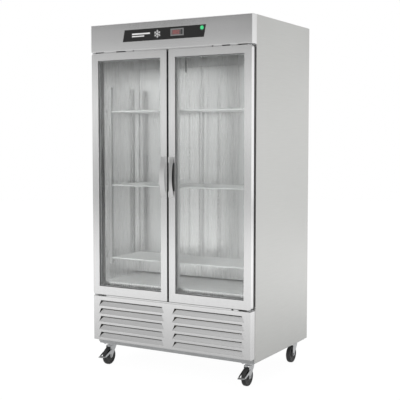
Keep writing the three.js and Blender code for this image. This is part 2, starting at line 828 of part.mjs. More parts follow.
// Two arms outside the fork, joined by a toe plate in front of the wheel.
function brakePedal() {
  const { pivotY: y, pivotZ: z, armInner, armOuter, toeZ } = pedal
  const arm = polygon([
    [y + 7, z - 2], [y + 5, z + 5], [y, z + 7], [y - 10, z + 5],
    [-92, toeZ + 7], [-92, toeZ], [-84, toeZ], [y, z - 8],
  ])
  const arms = both.map((side) => sideExtrusion(arm, ...spanX(side, armInner, armOuter)))
  const toe = extrude(polygon([
    [-armOuter, -88], [-armOuter, -98], [-12, -121], [12, -121], [armOuter, -98], [armOuter, -88],
  ]), pedal.toeThickness).translate(0, 0, toeZ)
  return cut(join(toe, ...arms), crossCylinder(pedal.pinRadius + 0.5, -25, 25, y, z, 12))
}

function addCaster(row, side) {
  const name = `${row}_${sideName[side]}`
  const swivel = new THREE.Group()
  const behind = row === 'front' ? caster.frontDepth : caster.rearDepth
  swivel.position.set(side * caster.x, faceY + behind, 0)
  group.add(swivel)
  const withBrake = row === 'front'
  add(`${name}_caster_plate`, casterPlate(), zinc, swivel)
  add(`${name}_caster_fork`, casterFork(withBrake), zinc, swivel)
  add(`${name}_caster_wheel`, casterWheel(), tyreRubber, swivel)
  if (withBrake) {
    add(`${name}_brake_pedal`, brakePedal(), zinc, swivel)
  }
}

// ---------------------------------------------------------------- assembly

for (const side of both) {
  add(`${sideName[side]}_side_panel`, sidePanel(side), stainless)
  addDoor(side)
}
add('top_panel', topPanel(), galvanised)
add('back_panel', backSheet(), galvanised)
add('base_pan', basePan(), galvanised)
add('insulation', insulation(), foamYellow)
add('inner_liner', innerLiner(), linerSteel)
add('front_frame', frontFrame(), linerSteel)
add('header_fascia', header(), stainless)
add('grille_panel', grillePanel(), stainless)
add('control_badge', controlBadge(), darkPlastic)
add('display_module', displayModule(), darkPlastic)
add('power_button', powerButton(), lampGreen)
add('interior_light', lightBar(), whitePlastic)
addShelving()
add('plenum_panel', plenumPanel(), linerSteel)
add('evaporator_coil', evaporatorCoil(), finAluminium)
addFans()
add('compressor', compressorPot(), blackPaint)
add('condenser_coil', condenserCoil(), blackPaint)
add('condensate_pan', condensatePan(), darkPlastic)
add('cord_gland', cordGland(), darkPlastic)
for (const row of ['front', 'rear']) {
  for (const side of both) {
    addCaster(row, side)
  }
}

export default group
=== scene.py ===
"""Looks of a glass door merchandiser: a two-door stainless reach-in refrigerator on casters.

Positions are in millimetres: X to the viewer's right, depth behind the face of the doors,
and Z up from the floor. The point() function turns them into the frame's metres.
"""

import json
import math

import bmesh
import bpy
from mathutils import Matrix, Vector

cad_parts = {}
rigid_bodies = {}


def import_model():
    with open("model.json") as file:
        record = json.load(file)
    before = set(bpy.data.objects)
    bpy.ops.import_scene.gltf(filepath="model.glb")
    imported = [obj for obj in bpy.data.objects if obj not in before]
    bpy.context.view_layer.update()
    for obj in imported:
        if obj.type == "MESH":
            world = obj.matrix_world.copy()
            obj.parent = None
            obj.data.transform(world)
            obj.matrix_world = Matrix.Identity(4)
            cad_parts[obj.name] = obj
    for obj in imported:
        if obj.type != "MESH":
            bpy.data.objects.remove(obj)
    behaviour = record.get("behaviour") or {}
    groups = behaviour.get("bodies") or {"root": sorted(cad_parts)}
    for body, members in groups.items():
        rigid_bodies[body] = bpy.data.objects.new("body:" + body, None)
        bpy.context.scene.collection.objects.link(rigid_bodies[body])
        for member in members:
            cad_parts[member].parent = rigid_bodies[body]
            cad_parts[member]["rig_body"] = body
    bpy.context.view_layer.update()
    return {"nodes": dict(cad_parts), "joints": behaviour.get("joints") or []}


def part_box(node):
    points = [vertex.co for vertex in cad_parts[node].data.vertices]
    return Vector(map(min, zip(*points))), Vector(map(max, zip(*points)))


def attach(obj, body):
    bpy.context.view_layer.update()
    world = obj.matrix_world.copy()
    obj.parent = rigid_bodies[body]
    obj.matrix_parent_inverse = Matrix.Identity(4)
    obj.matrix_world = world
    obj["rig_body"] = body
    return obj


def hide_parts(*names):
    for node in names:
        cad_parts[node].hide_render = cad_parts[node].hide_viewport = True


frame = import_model()

ORIGIN = Vector((0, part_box("left_door_frame")[0].y, 0))
SIDES = {"left": -1, "right": 1}
LEVELS = ("lower", "middle", "upper")


# ---- places


def point(x, depth, z):
    return ORIGIN + Vector((x, depth, z)) / 1000


def reach(node):
    """The CAD node's lowest and highest X, depth and Z."""
    low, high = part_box(node)
    return [((a - o) * 1000, (b - o) * 1000) for a, b, o in zip(low, high, ORIGIN)]


def span(side, near, far):
    """The X range between two distances from the middle, on the left (-1) or right (1)."""
    return tuple(sorted((side * near, side * far)))


def middle_of(node):
    """The middle of a CAD node's box, as (X, depth, Z)."""
    return tuple((low + high) / 2 for low, high in reach(node))


def joint_place(name):
    """A hinge's anchor, as (X, depth, Z)."""
    anchor = next(j["pos_m"] for j in frame["joints"] if j["name"] == name)
    return tuple((Vector(anchor) - ORIGIN) * 1000)


# ---- shapes
# A shape is a list of points and a list of faces.


def gather(*shapes):
    points, faces = [], []
    for more_points, more_faces in shapes:
        start = len(points)
        points.extend(more_points)
        faces.extend([start + i for i in face] for face in more_faces)
    return points, faces


def wrap(rings):
    """The faces between one closed ring of points and the next."""
    faces = []
    for near, far in zip(rings, rings[1:]):
        for k in range(len(near)):
            m = (k + 1) % len(near)
            faces.append([near[k], near[m], far[m], far[k]])
    return faces


def from_bmesh(bm):
    bm.verts.index_update()
    shape = [v.co.copy() for v in bm.verts], [[v.index for v in f.verts] for f in bm.faces]
    bm.free()
    return shape


SHARP_EDGE = math.radians(30)


def round_edges(bm, radius, segments=2):
    edges = [e for e in bm.edges if len(e.link_faces) == 2 and e.calc_face_angle(0) > SHARP_EDGE]
    bmesh.ops.bevel(
        bm, geom=edges, offset=radius / 1000, offset_type="OFFSET", segments=segments,
        profile=0.5, affect="EDGES", clamp_overlap=True)


def plain_box(xs, depths, zs):
    ranges = [sorted(xs), sorted(depths), sorted(zs)]
    bm = bmesh.new()
    bmesh.ops.create_cube(bm, size=1)
    for v in bm.verts:
        v.co = point(*(low + (high - low) * (t + 0.5) for (low, high), t in zip(ranges, v.co)))
    return bm


def block(xs, depths, zs, radius=0.8, segments=2):
    """A box between two corners, with rounded edges."""
    bm = plain_box(xs, depths, zs)
    round_edges(bm, radius, segments)
    return from_bmesh(bm)


def facing_front(x, z, depth):
    return point(x, depth, z)


def facing_side(depth, z, x):
    return point(x, depth, z)


def slab(outline, start, end, place, radius=0.0):
    """A plate: an outline of (a, b) points carried from start to end. place(a, b, c) is a point."""
    bm = bmesh.new()
    near, far = ([bm.verts.new(place(a, b, c)) for a, b in outline] for c in (start, end))
    bm.faces.new(near)
    bm.faces.new(far[::-1])
    for i, corner in enumerate(near):
        bm.faces.new((corner, far[i], far[i - 1], near[i - 1]))
    bmesh.ops.recalc_face_normals(bm, faces=bm.faces)
    if radius:
        round_edges(bm, radius)
    return from_bmesh(bm)


AXES = {
    "x": (Vector((1, 0, 0)), Vector((0, 1, 0)), Vector((0, 0, 1))),
    "y": (Vector((0, 1, 0)), Vector((0, 0, 1)), Vector((1, 0, 0))),
    "z": (Vector((0, 0, 1)), Vector((1, 0, 0)), Vector((0, 1, 0))),
}


def lathe(profile, centre, axis, steps=32):
    """A profile of (radius, way along the axis) points turned round an axis through centre.
    A ring of radius 0 is a single point."""
    along, across, up = AXES[axis]
    points, rings = [], []
    for radius, way in profile:
        middle = centre + along * way / 1000
        start = len(points)
        count = steps if radius > 0 else 1
        rings.append(range(start, start + count))
        for i in range(count):
            turn = 2 * math.pi * i / steps
            points.append(middle + (across * math.cos(turn) + up * math.sin(turn)) * radius / 1000)
    faces = []
    for near, far in zip(rings, rings[1:]):
        for i in range(steps):
            j = (i + 1) % steps
            corners = [near[i % len(near)], near[j % len(near)], far[j % len(far)], far[i % len(far)]]
            face = list(dict.fromkeys(corners))
            if len(face) > 2:
                faces.append(face)
    return points, faces


def fillet(corners, radius, closed=False, steps=5):
    """A path through corner points, with its bends rounded."""
    path = []
    last = len(corners) - 1
    for i, corner in enumerate(corners):
        if not closed and i in (0, last):
            path.append(corner)
            continue
        back = corners[i - 1] - corner
        on = corners[0 if i == last else i + 1] - corner
        cut = radius / 1000 / math.tan(back.angle(on) / 2)
        start, end = corner + back.normalized() * cut, corner + on.normalized() * cut
        for k in range(steps + 1):
            t = k / steps
            path.append(start * (1 - t) ** 2 + corner * 2 * t * (1 - t) + end * t * t)
    return path


def tube(path, radius, sides=10, closed=False):
    """A round bar along a path, with flat ends unless it is closed."""
    last = len(path) - 1
    points, normal = [], None
    for i, middle in enumerate(path):
        before = path[i - 1] if closed or i > 0 else middle
        after = path[0 if i == last else i + 1] if closed or i < last else middle
        direction = (after - before).normalized()
        normal = direction.orthogonal() if normal is None else normal
        normal = (normal - direction * normal.dot(direction)).normalized()
        other = direction.cross(normal)
        for k in range(sides):
            turn = 2 * math.pi * k / sides
            points.append(middle + (normal * math.cos(turn) + other * math.sin(turn)) * radius / 1000)
    rings = [range(i * sides, (i + 1) * sides) for i in range(last + 1)]
    if closed:
        return points, wrap(rings + rings[:1])
    return points, wrap(rings) + [list(reversed(rings[0])), list(rings[-1])]


def rim(profile, xs, zs):
    """A closed profile of (inset, depth) points carried round a rectangle, with mitred corners."""
    (x0, x1), (z0, z1) = sorted(xs), sorted(zs)
    corners = ((x0, z0, 1, 1), (x1, z0, -1, 1), (x1, z1, -1, -1), (x0, z1, 1, -1))
    count = len(profile)
    points = [point(x + sx * a, d, z + sz * a) for x, z, sx, sz in corners for a, d in profile]
    rings = [range(i * count, (i + 1) * count) for i in range(4)]
    return points, wrap(rings + rings[:1])


def grid(us, vs, place, hole=lambda i, j: False):
    """A sheet over a grid of lines, without the cells that are holes. place(u, v) is a point."""
    width = len(us)
    points = [place(u, v) for v in vs for u in us]
    faces = []
    for j in range(len(vs) - 1):
        for i in range(width - 1):
            if not hole(i, j):
                start = j * width + i
                faces.append([start, start + 1, start + width + 1, start + width])
    return points, faces


def folded(low, high, depth, radius, lines=()):
    """Stations (position, depth) across a pan: back edge, rounded fold, face, fold, back edge."""
    bends = [math.pi / 2 * k / 4 for k in range(5)]
    near = [(low, depth)]
    near += [(low + radius * (1 - math.cos(a)), radius * (1 - math.sin(a))) for a in bends]
    inside = [(x, 0) for x in sorted(set(lines)) if low + radius < x < high - radius]
    far = [(low + high - x, d) for x, d in reversed(near)]
    return near + inside + far


def pan(xs, zs, depth, radius, openings=(), slant=0, front=0):
    """A sheet folded back round its edges, with openings (x0, x1, z0, z1) in its face.
    The openings are narrower at the top by slant on each side."""
    us = folded(*xs, depth, radius, [x for o in openings for x in o[:2]])
    vs = folded(*zs, depth, radius, [z for o in openings for z in o[2:]])
    moved = {}
    for x0, x1, _, z1 in openings:
        moved[(x0, z1)] = x0 + slant
        moved[(x1, z1)] = x1 - slant

    def place(u, v):
        return point(moved.get((u[0], v[0]), u[0]), front + min(u[1] + v[1], depth), v[0])

    def hole(i, j):
        x, z = (us[i][0] + us[i + 1][0]) / 2, (vs[j][0] + vs[j + 1][0]) / 2
        at_corner = i in (0, len(us) - 2) and j in (0, len(vs) - 2)
        return at_corner or any(x0 < x < x1 and z0 < z < z1 for x0, x1, z0, z1 in openings)

    return grid(us, vs, place, hole)


def holed_plate(xs, zs, centre, radius, depth):
    """A flat sheet with a round hole in it."""
    (x0, x1), (z0, z1), (cx, cz) = xs, zs, centre
    angles = [2 * math.pi * k / 48 for k in range(48)]
    angles += [math.atan2(z - cz, x - cx) % (2 * math.pi) for x in xs for z in zs]

    def ray(angle):
        c, s = math.cos(angle), math.sin(angle)
        ways = []
        if abs(c) > 1e-9:
            ways.append(((x1 if c > 0 else x0) - cx) / c)
        if abs(s) > 1e-9:
            ways.append(((z1 if s > 0 else z0) - cz) / s)
        return min(ways)

    angles = sorted(set(round(a, 9) for a in angles))
    angles.append(angles[0] + 2 * math.pi)
    return grid(
        [1, 0], angles,
        lambda t, a: point(
            cx + math.cos(a) * (radius + (ray(a) - radius) * t),
            depth,
            cz + math.sin(a) * (radius + (ray(a) - radius) * t)))


# ---- materials


class Graph:
    """The nodes of a new material, or of a world, added one call at a time."""

    def __init__(self, name, world=None):
        self.owner = world or bpy.data.materials.new(name)
        self.owner.use_nodes = True
        self.tree = self.owner.node_tree
        self.tree.nodes.clear()

    def add(self, kind, inputs=None, **settings):
        node = self.tree.nodes.new("ShaderNode" + kind)
        for key, value in settings.items():
            setattr(node, key, value)
        for socket, value in (inputs or {}).items():
            if isinstance(value, bpy.types.NodeSocket):
                self.tree.links.new(value, node.inputs[socket])
            else:
                node.inputs[socket].default_value = value
        return node

    def noise(self, per_metre, detail=2.0):
        """Noise with about so many grains per metre along X, Y and Z."""
        place = self.add("TexCoord").outputs["Object"]
        scaled = self.add("Mapping", {"Vector": place, "Scale": per_metre}).outputs["Vector"]
        return self.add("TexNoise", {"Vector": scaled, "Scale": 1.0, "Detail": detail}).outputs["Fac"]

    def spread(self, value, low, high, start=0.3, end=0.7):
        """Carries a value between start and end to one between low and high."""
        inputs = {"Value": value, "From Min": start, "From Max": end, "To Min": low, "To Max": high}
        return self.add("MapRange", inputs).outputs["Result"]

    def blend(self, factor, first, second):
        return self.add("Mix", {0: factor, 6: first, 7: second}, data_type="RGBA").outputs[2]

    def ramp(self, factor, marks):
        """Greys that change along a factor. marks are (factor, brightness) pairs."""
        node = self.add("ValToRGB", {0: factor})
        elements = node.color_ramp.elements
        while len(elements) < len(marks):
            elements.new(0.5)
        for element, (place, brightness) in zip(elements, marks):
            element.position = place
            element.color = grey(brightness)
        return node.outputs["Color"]

    def bump(self, height, distance, strength=0.5):
        inputs = {"Height": height, "Distance": distance / 1000, "Strength": strength}
        return self.add("Bump", inputs).outputs["Normal"]

    def mix(self, factor, first, second):
        return self.add("MixShader", {0: factor, 1: first.outputs[0], 2: second.outputs[0]})

    def finish(self, shader, kind="OutputMaterial"):
        self.add(kind, {"Surface": shader.outputs[0]})
        return self.owner

    def principled(self, inputs):
        """The finished material, with one Principled shader."""
        return self.finish(self.add("BsdfPrincipled", inputs))


def grey(level, tint=(1, 1, 1)):
    return (level * tint[0], level * tint[1], level * tint[2], 1)


def sheet_steel(name, level, roughness, anisotropic, streaks, tint=(1, 1, 1), blotch=0.06,
                clouds=(2.2, 2.2, 1.4), relief=0.25):
    """Stainless sheet: fine grain, faint broad smudges and a brushed highlight."""
    g = Graph(name)
    grain = g.noise(streaks, 3)
    smudge = g.noise(clouds, 3)
    worn = g.blend(g.spread(smudge, 0, 1), grey(level * (1 - blotch), tint), grey(level, tint))
    colour = g.blend(g.spread(grain, 0, 0.5), worn, grey(level * 0.9, tint))
    rough = g.add(
        "Math", {0: g.spread(grain, -0.03, 0.03), 1: g.spread(smudge, roughness, roughness * 1.25)},
        operation="ADD").outputs[0]
    return g.principled({
        "Base Color": colour,
        "Metallic": 1.0,
        "Roughness": rough,
        "Anisotropic": anisotropic,
        "Tangent": g.add("Tangent", direction_type="RADIAL", axis="Z").outputs["Tangent"],
        "Normal": g.bump(grain, 0.02, relief),
    })


def spangled_steel(name, level, tint):
    """Galvanised sheet: a mosaic of dull and bright crystals."""
    g = Graph(name)
    place = g.add("TexCoord").outputs["Object"]
    crystals = g.add("TexVoronoi", {"Vector": place, "Scale": 90.0, "Randomness": 1.0})
    shade = g.add("SeparateColor", {"Color": crystals.outputs["Color"]}).outputs["Red"]
    dust = g.noise((6, 6, 6), 3)
    bright = g.blend(shade, grey(level * 0.82, tint), grey(level, tint))
    colour = g.blend(g.spread(dust, 0, 0.35), bright, grey(level * 0.6, tint))
    return g.principled({
        "Base Color": colour,
        "Metallic": 0.9,
        "Roughness": g.spread(shade, 0.38, 0.55, 0, 1),
        "Normal": g.bump(shade, 0.02, 0.2),
    })


def plated_steel(name, level, tint, roughness=0.28):
    """Zinc plate or plain metal: slightly uneven and scuffed."""
    g = Graph(name)
    cloud = g.noise((60, 60, 60), 4)
    scratch = g.noise((400, 60, 900), 2)
    base = g.blend(g.spread(cloud, 0, 1), grey(level * 0.82, tint), grey(level, tint))
    colour = g.blend(g.spread(scratch, 0, 0.4, 0.55, 0.75), base, grey(level * 0.6, tint))
    return g.principled({
        "Base Color": colour,
        "Metallic": 1.0,
        "Roughness": g.spread(cloud, roughness, roughness * 1.5),
        "Normal": g.bump(scratch, 0.03, 0.3),
    })


def moulded(name, low, high, roughness, per_metre=250, coat=0.0, pits=0.03, emission=0.0):
    """Plastic, rubber or paint: two close colours, a fine texture and uneven gloss."""
    g = Graph(name)
    texture = g.noise((per_metre, per_metre, per_metre), 3)
    cloud = g.noise((14, 14, 14), 2)
    return g.principled({
        "Base Color": g.blend(g.spread(cloud, 0, 1), low, high),
        "Roughness": g.spread(texture, roughness * 0.85, roughness * 1.15),
        "Coat Weight": coat,
        "Coat Roughness": 0.08,
        "Emission Color": high,
        "Emission Strength": emission,
        "Normal": g.bump(texture, pits, 0.4),
    })


def glazing():
    """Clear glass that lets light and shadow through, with a very faint film on it."""
    g = Graph("clear_glass")
    film = g.noise((5, 5, 3), 3)
    glass = g.add("BsdfPrincipled", {
        "Base Color": g.blend(g.spread(film, 0, 1), (0.985, 0.99, 0.987, 1), (0.995, 1.0, 0.997, 1)),
        "Roughness": 0.02,
        "IOR": 1.45,
        "Transmission Weight": 1.0,
    })
    shadow = g.add("LightPath").outputs["Is Shadow Ray"]
    clear = g.add("BsdfTransparent", {"Color": (0.96, 0.97, 0.965, 1)})
    return g.finish(g.mix(shadow, glass, clear))


def foam():
    g = Graph("insulation_foam")
    cells = g.noise((300, 300, 300), 4)
    return g.principled({
        "Base Color": g.blend(g.spread(cells, 0, 1), (0.66, 0.53, 0.27, 1), (0.8, 0.7, 0.42, 1)),
        "Roughness": 0.95,
        "Normal": g.bump(cells, 0.6),
    })


WARM = (1.0, 1.004, 0.98)
COOL = (0.985, 1.0, 1.01)

# Each skin is a material and the slot that it fills.
SKINS = {
    "front_steel": (sheet_steel("front_stainless", 0.80, 0.20, 0.55, (900, 900, 9)), "stainless"),
    # A brighter copy of the front stainless for faces that look sideways: painted light on the returns.
    "side_lit_steel": (sheet_steel("painted_side_light_stainless", 0.93, 0.16, 0.3, (900, 900, 9)), "stainless"),
    "side_steel": (sheet_steel("side_stainless", 0.70, 0.36, 0.3, (9, 9, 900), WARM), "stainless"),
    "pull_steel": (sheet_steel("pull_stainless", 0.66, 0.34, 0.0, (60, 60, 900)), "stainless"),
    "liner_steel": (
        sheet_steel("liner_stainless", 0.88, 0.25, 0.3, (600, 600, 6), (1, 1, 1), 0.09, (7, 7, 0.5), 0.03),
        "liner_steel"),
    "pilaster_steel": (sheet_steel("pilaster_stainless", 0.62, 0.4, 0.2, (600, 600, 6)), "liner_steel"),
    "liner_floor": (moulded("liner_floor", grey(0.66), grey(0.74), 0.4, 40, 0.2), "liner_steel"),
    "galvanised": (spangled_steel("galvanised_sheet", 0.58, COOL), "galvanised"),
    "zinc": (plated_steel("zinc_plate", 0.74, COOL), "zinc"),
    "copper": (plated_steel("copper_tube", 0.6, (1.0, 0.5, 0.33), 0.3), "coil"),
    "fins": (plated_steel("aluminium_fins", 0.6, (1, 0.99, 0.96), 0.4), "coil"),
    "shelf_wire": (moulded("coated_wire", grey(0.8), grey(0.88), 0.35, 200, 0.4), "shelf_wire"),
    # A near-black sheet for the inside of the pulls' pockets: painted shade.
    "shadow_grey": (moulded("painted_pocket_shade", grey(0.06), grey(0.075), 0.6, 300), "dark_plastic"),
    "seal": (moulded("grey_rubber", grey(0.13), grey(0.16), 0.5, 300), "gasket"),
    "spacer": (plated_steel("spacer_bar", 0.5, COOL, 0.4), "zinc"),
    "gasket": (moulded("gasket_rubber", grey(0.02), grey(0.03), 0.6, 300), "gasket"),
    "tyre": (moulded("tyre_rubber", grey(0.02, COOL), grey(0.045, COOL), 0.55, 500, 0, 0.08), "tyre"),
    "hub": (moulded("wheel_hub", grey(0.03), grey(0.045), 0.4, 300), "tyre"),
    "badge": (moulded("gloss_badge", grey(0.005), grey(0.007), 0.5, 120, 0.0, 0.01), "dark_plastic"),
    "bezel": (moulded("display_bezel", grey(0.17), grey(0.2), 0.4, 500), "dark_plastic"),
    "screen": (
        moulded("display_window", (0.13, 0.085, 0.085, 1), (0.15, 0.1, 0.1, 1), 0.3, 60, 0.2),
        "dark_plastic"),
    "digit": (
        moulded("display_digit", (0.38, 0.05, 0.05, 1), (0.42, 0.06, 0.06, 1), 0.3, 60, 0, 0.01, 0.15),
        "dark_plastic"),
    "mark": (moulded("printed_mark", grey(0.72), grey(0.8), 0.4, 200), "dark_plastic"),
    "dark_plastic": (moulded("dark_plastic", grey(0.022), grey(0.03), 0.45), "dark_plastic"),
    "lamp_green": (
        moulded("green_lens", (0.04, 0.5, 0.18, 1), (0.05, 0.58, 0.22, 1), 0.2, 60, 0.4, 0.01, 0.3),
        "lamp_green"),
    "white_plastic": (moulded("white_plastic", grey(0.76), grey(0.82), 0.4), "white_plastic"),
    "black_paint": (moulded("black_paint", grey(0.018), grey(0.028), 0.35, 400, 0.3), "black_paint"),
    "foam": (foam(), "foam"),
    "glass": (glazing(), "glass"),
}


# ---- pieces


def apply_modifiers(obj):
    graph = bpy.context.evaluated_depsgraph_get()
    result = obj.evaluated_get(graph)
    obj.data = bpy.data.meshes.new_from_object(result, preserve_all_data_layers=True, depsgraph=graph)
    obj.modifiers.clear()


def piece(name, shape, skin, body=None, nodes=(), thickness=0.0, sharp=35):
    """One object of a shape, in a skin, riding on a body and standing for CAD nodes.
    An open sheet gets its thickness behind its face."""
    bm = bmesh.new()
    verts = [bm.verts.new(p) for p in shape[0]]
    for face in shape[1]:
        bm.faces.new([verts[i] for i in face])
    bmesh.ops.remove_doubles(bm, verts=bm.verts, dist=1e-6)
    bmesh.ops.delete(bm, geom=[v for v in bm.verts if not v.link_faces], context="VERTS")
    if not thickness:
        bmesh.ops.recalc_face_normals(bm, faces=bm.faces)
    mesh = bpy.data.meshes.new(name)
    bm.to_mesh(mesh)
    bm.free()
    obj = bpy.data.objects.new(name, mesh)
    bpy.context.scene.collection.objects.link(obj)
    if thickness:
        solid = obj.modifiers.new("thickness", "SOLIDIFY")
        solid.thickness = thickness / 1000
        solid.offset = -1
        apply_modifiers(obj)
    obj.data.shade_smooth()
    obj.data.set_sharp_from_angle(angle=math.radians(sharp))
    obj.modifiers.new("normals", "WEIGHTED_NORMAL").keep_sharp = True
    apply_modifiers(obj)
    material, slot = SKINS[skin]
    obj.data.materials.clear()
    obj.data.materials.append(material)
    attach(obj, body or frame["nodes"][nodes[0]]["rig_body"])
    if nodes:
        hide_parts(*nodes)
    return obj


def refined(node, skin, radius=0.6, segments=2):
    """The CAD node's own shape with its edges rounded."""
    bm = bmesh.new()
    bm.from_mesh(frame["nodes"][node].data)
    bmesh.ops.remove_doubles(bm, verts=bm.verts, dist=1e-5)
    bmesh.ops.dissolve_limit(bm, angle_limit=math.radians(1), verts=bm.verts, edges=bm.edges)
    round_edges(bm, radius, segments)
    return piece(f"{node}_finish", from_bmesh(bm), skin, nodes=(node,))


def skin_faces(obj, skin, wanted):
    """Gives the faces that are wanted another finish."""
    obj.data.materials.append(SKINS[skin][0])
    for face in obj.data.polygons:
        if wanted(face):
            face.material_index = 1


def paint_light_on_returns(obj):
    """Gives the faces that look left or right a brighter, slightly smoother copy of the same stainless:
    painted light on the folded returns.
    """
    skin_faces(obj, "side_lit_steel", lambda face: abs(face.normal.x) > 0.8)


def screw(x, depth, z):
    """A pan head that stands out of the back."""
    profile = [(0, 2.2), (2, 2.0), (3.4, 1.3), (4, 0.4), (4, -0.6), (0, -0.6)]
    return lathe(profile, point(x, depth, z), "y", 16)


# ---- cabinet shell

HEADER = reach("header_fascia")
GRILLE = reach("grille_panel")
SHEET = 1.2
FOLD = 3.5
SCREW_INSET = 18
LAMP_HOLE = 12.6


def cabinet_shell():
    for name in SIDES:
        refined(f"{name}_side_panel", "side_steel", 1.4, 3)
    refined("top_panel", "galvanised", 0.5)
    refined("back_panel", "galvanised", 0.5)
    refined("base_pan", "galvanised", 1.5)
    refined("front_frame", "liner_steel", 1.2)
    foam_node = frame["nodes"]["insulation"]
    foam_node.data.materials.clear()
    foam_node.data.materials.append(SKINS["foam"][0])
    (x0, x1), (_, rear), (z0, z1) = reach("back_panel")
    heads = []
    for k in range(7):
        z = z0 + 40 + (z1 - z0 - 80) * k / 6
        heads += [screw(x, rear, z) for x in (x0 + SCREW_INSET, x1 - SCREW_INSET)]
    for k in range(1, 5):
        x = x0 + (x1 - x0) * k / 5
        heads += [screw(x, rear, z) for z in (z0 + SCREW_INSET, z1 - SCREW_INSET)]
    piece("back_panel_screws", gather(*heads), "zinc", "cabinet")
    refined("cord_gland", "dark_plastic", 0.8)


def header():
    display, button = reach("display_module"), middle_of("power_button")
    (x0, x1), _, (z0, z1) = HEADER
    window = (display[0][0] + 6, display[0][1] - 6, display[2][0] + 5, display[2][1] - 5)
    lamp = [button[i] + way * LAMP_HOLE for i in (0, 2) for way in (-1, 1)]
    shape = pan((x0, x1), (z0, z1), HEADER[1][1], FOLD, [window, lamp])
    obj = piece("header_sheet", shape, "front_steel", nodes=("header_fascia",), thickness=SHEET)
    paint_light_on_returns(obj)


# ---- louvred grille

LOUVRE = {"rows": 5, "pitch": 46.7, "top": 394, "height": 34, "centre": 252, "half": 225, "slant": 15}
LOUVRE_LEAN = math.radians(25)
LOUVRE_BEND = 7


def louvre_openings():
    for side in SIDES.values():
        for row in range(LOUVRE["rows"]):
            top = LOUVRE["top"] - LOUVRE["pitch"] * row
            middle = side * LOUVRE["centre"]
            yield middle - LOUVRE["half"], middle + LOUVRE["half"], top - LOUVRE["height"], top


def flap(x0, x1, z0, z1):
    """The part of the sheet that is cut on three sides and bent inward about its lower edge."""
    bends = [LOUVRE_LEAN * k / 5 for k in range(6)]
    path = [(LOUVRE_BEND * math.sin(a), LOUVRE_BEND * (1 - math.cos(a))) for a in bends]
    rise, back = path[-1]
    top = z1 - z0 - 6
    path.append((top, back + (top - rise) * math.tan(LOUVRE_LEAN)))
    slope = LOUVRE["slant"] / LOUVRE["height"]

    def place(u, v):
        edge = x0 + slope * v[0] + 0.8 if u == 0 else x1 - slope * v[0] - 0.8
        return point(edge, v[1], z0 + v[0])

    return grid([0, 1], path, place)


def grille():
    openings = list(louvre_openings())
    (x0, x1), (_, rear), (z0, z1) = GRILLE
    shape = pan((x0, x1), (z0, z1), rear, FOLD, openings, LOUVRE["slant"])
    sheet = piece("grille_sheet", shape, "front_steel", nodes=("grille_panel",), thickness=SHEET)
    paint_light_on_returns(sheet)
    louvres = gather(*(flap(*opening) for opening in openings))
    piece("grille_louvres", louvres, "front_steel", "cabinet", thickness=SHEET)


# ---- gaps round the doors


# The X at which the gap over the doors changes between a light strip and a dark pad.
GAP_BREAKS = [-430, -344, -278, -229, -221, 277, 285, 339, 386, 430]


def gap_strips():
    """Light strips that part-fill the gaps over and under the doors, with dark pads between."""
    door_z = reach("left_door_frame")[2]
    header_z, grille_z = HEADER[2][0], GRILLE[2][1]
    over = (door_z[1] + 1.6, header_z + 0.2)
    under = (grille_z - 0.2, door_z[0] - 2.4)
    light, dark = [], []
    for i, xs in enumerate(zip(GAP_BREAKS, GAP_BREAKS[1:])):
        strips, front = (light, 1.5) if i % 2 == 0 else (dark, 4)
        strips.append(block(xs, (front, 20), over, 0.5))
    light.append(block((-425, 398), (2.5, 20), under, 0.5))
    light.append(block((410, 440), (2.5, 20), under, 0.5))
    piece("gap_strips", gather(*light), "front_steel", "cabinet")
    piece("gap_pads", gather(*dark), "gasket", "cabinet")


# ---- control strip


def rounded_outline(x0, x1, z0, z1, radius):
    corners = ((x1, z1, 0), (x0, z1, 90), (x0, z0, 180), (x1, z0, 270))
    outline = []
    for x, z, start in corners:
        cx = x - radius if x == x1 else x + radius
        cz = z - radius if z == z1 else z + radius
        for k in range(5):
            turn = math.radians(start + 90 * k / 4)
            outline.append((cx + radius * math.cos(turn), cz + radius * math.sin(turn)))
    return outline


BADGE_SLANT = 13


def badge():
    """A glossy dark sign with slanted ends, carrying plain marks and a snowflake."""
    (x0, x1), (d0, d1), (z0, z1) = reach("control_badge")
    display, button = reach("display_module"), middle_of("power_button")
    lines_x = [x0, display[0][0] + 6, display[0][1] - 6, button[0] - 13, button[0] + 10, x1 - BADGE_SLANT]
    cut = (lines_x[1], lines_x[2], display[2][0] + 5, display[2][1] - 5)
    lines_z = [z0, cut[2], cut[3], z1]

    def place(x, z):
        ends = x in (lines_x[0], lines_x[-1])
        return point(x + (BADGE_SLANT * (z - z0) / (z1 - z0) if ends else 0), d0, z)

    def hole(i, j):
        return i == 1 and j == 1

    piece("badge_plate", grid(lines_x, lines_z, place, hole), "badge", nodes=("control_badge",),
          thickness=d1 - d0)
    front = (d0 - 0.35, d0 + 0.1)
    middle = (z0 + z1) / 2
    bars = [
        block((-232, -112), front, (middle + 3, middle + 11), 0.3),
        block((-232, -150), front, (middle - 9, middle - 3), 0.3),
    ]
    piece("badge_marks", gather(*bars, snowflake(-64, middle, 22, front)), "mark", "cabinet")


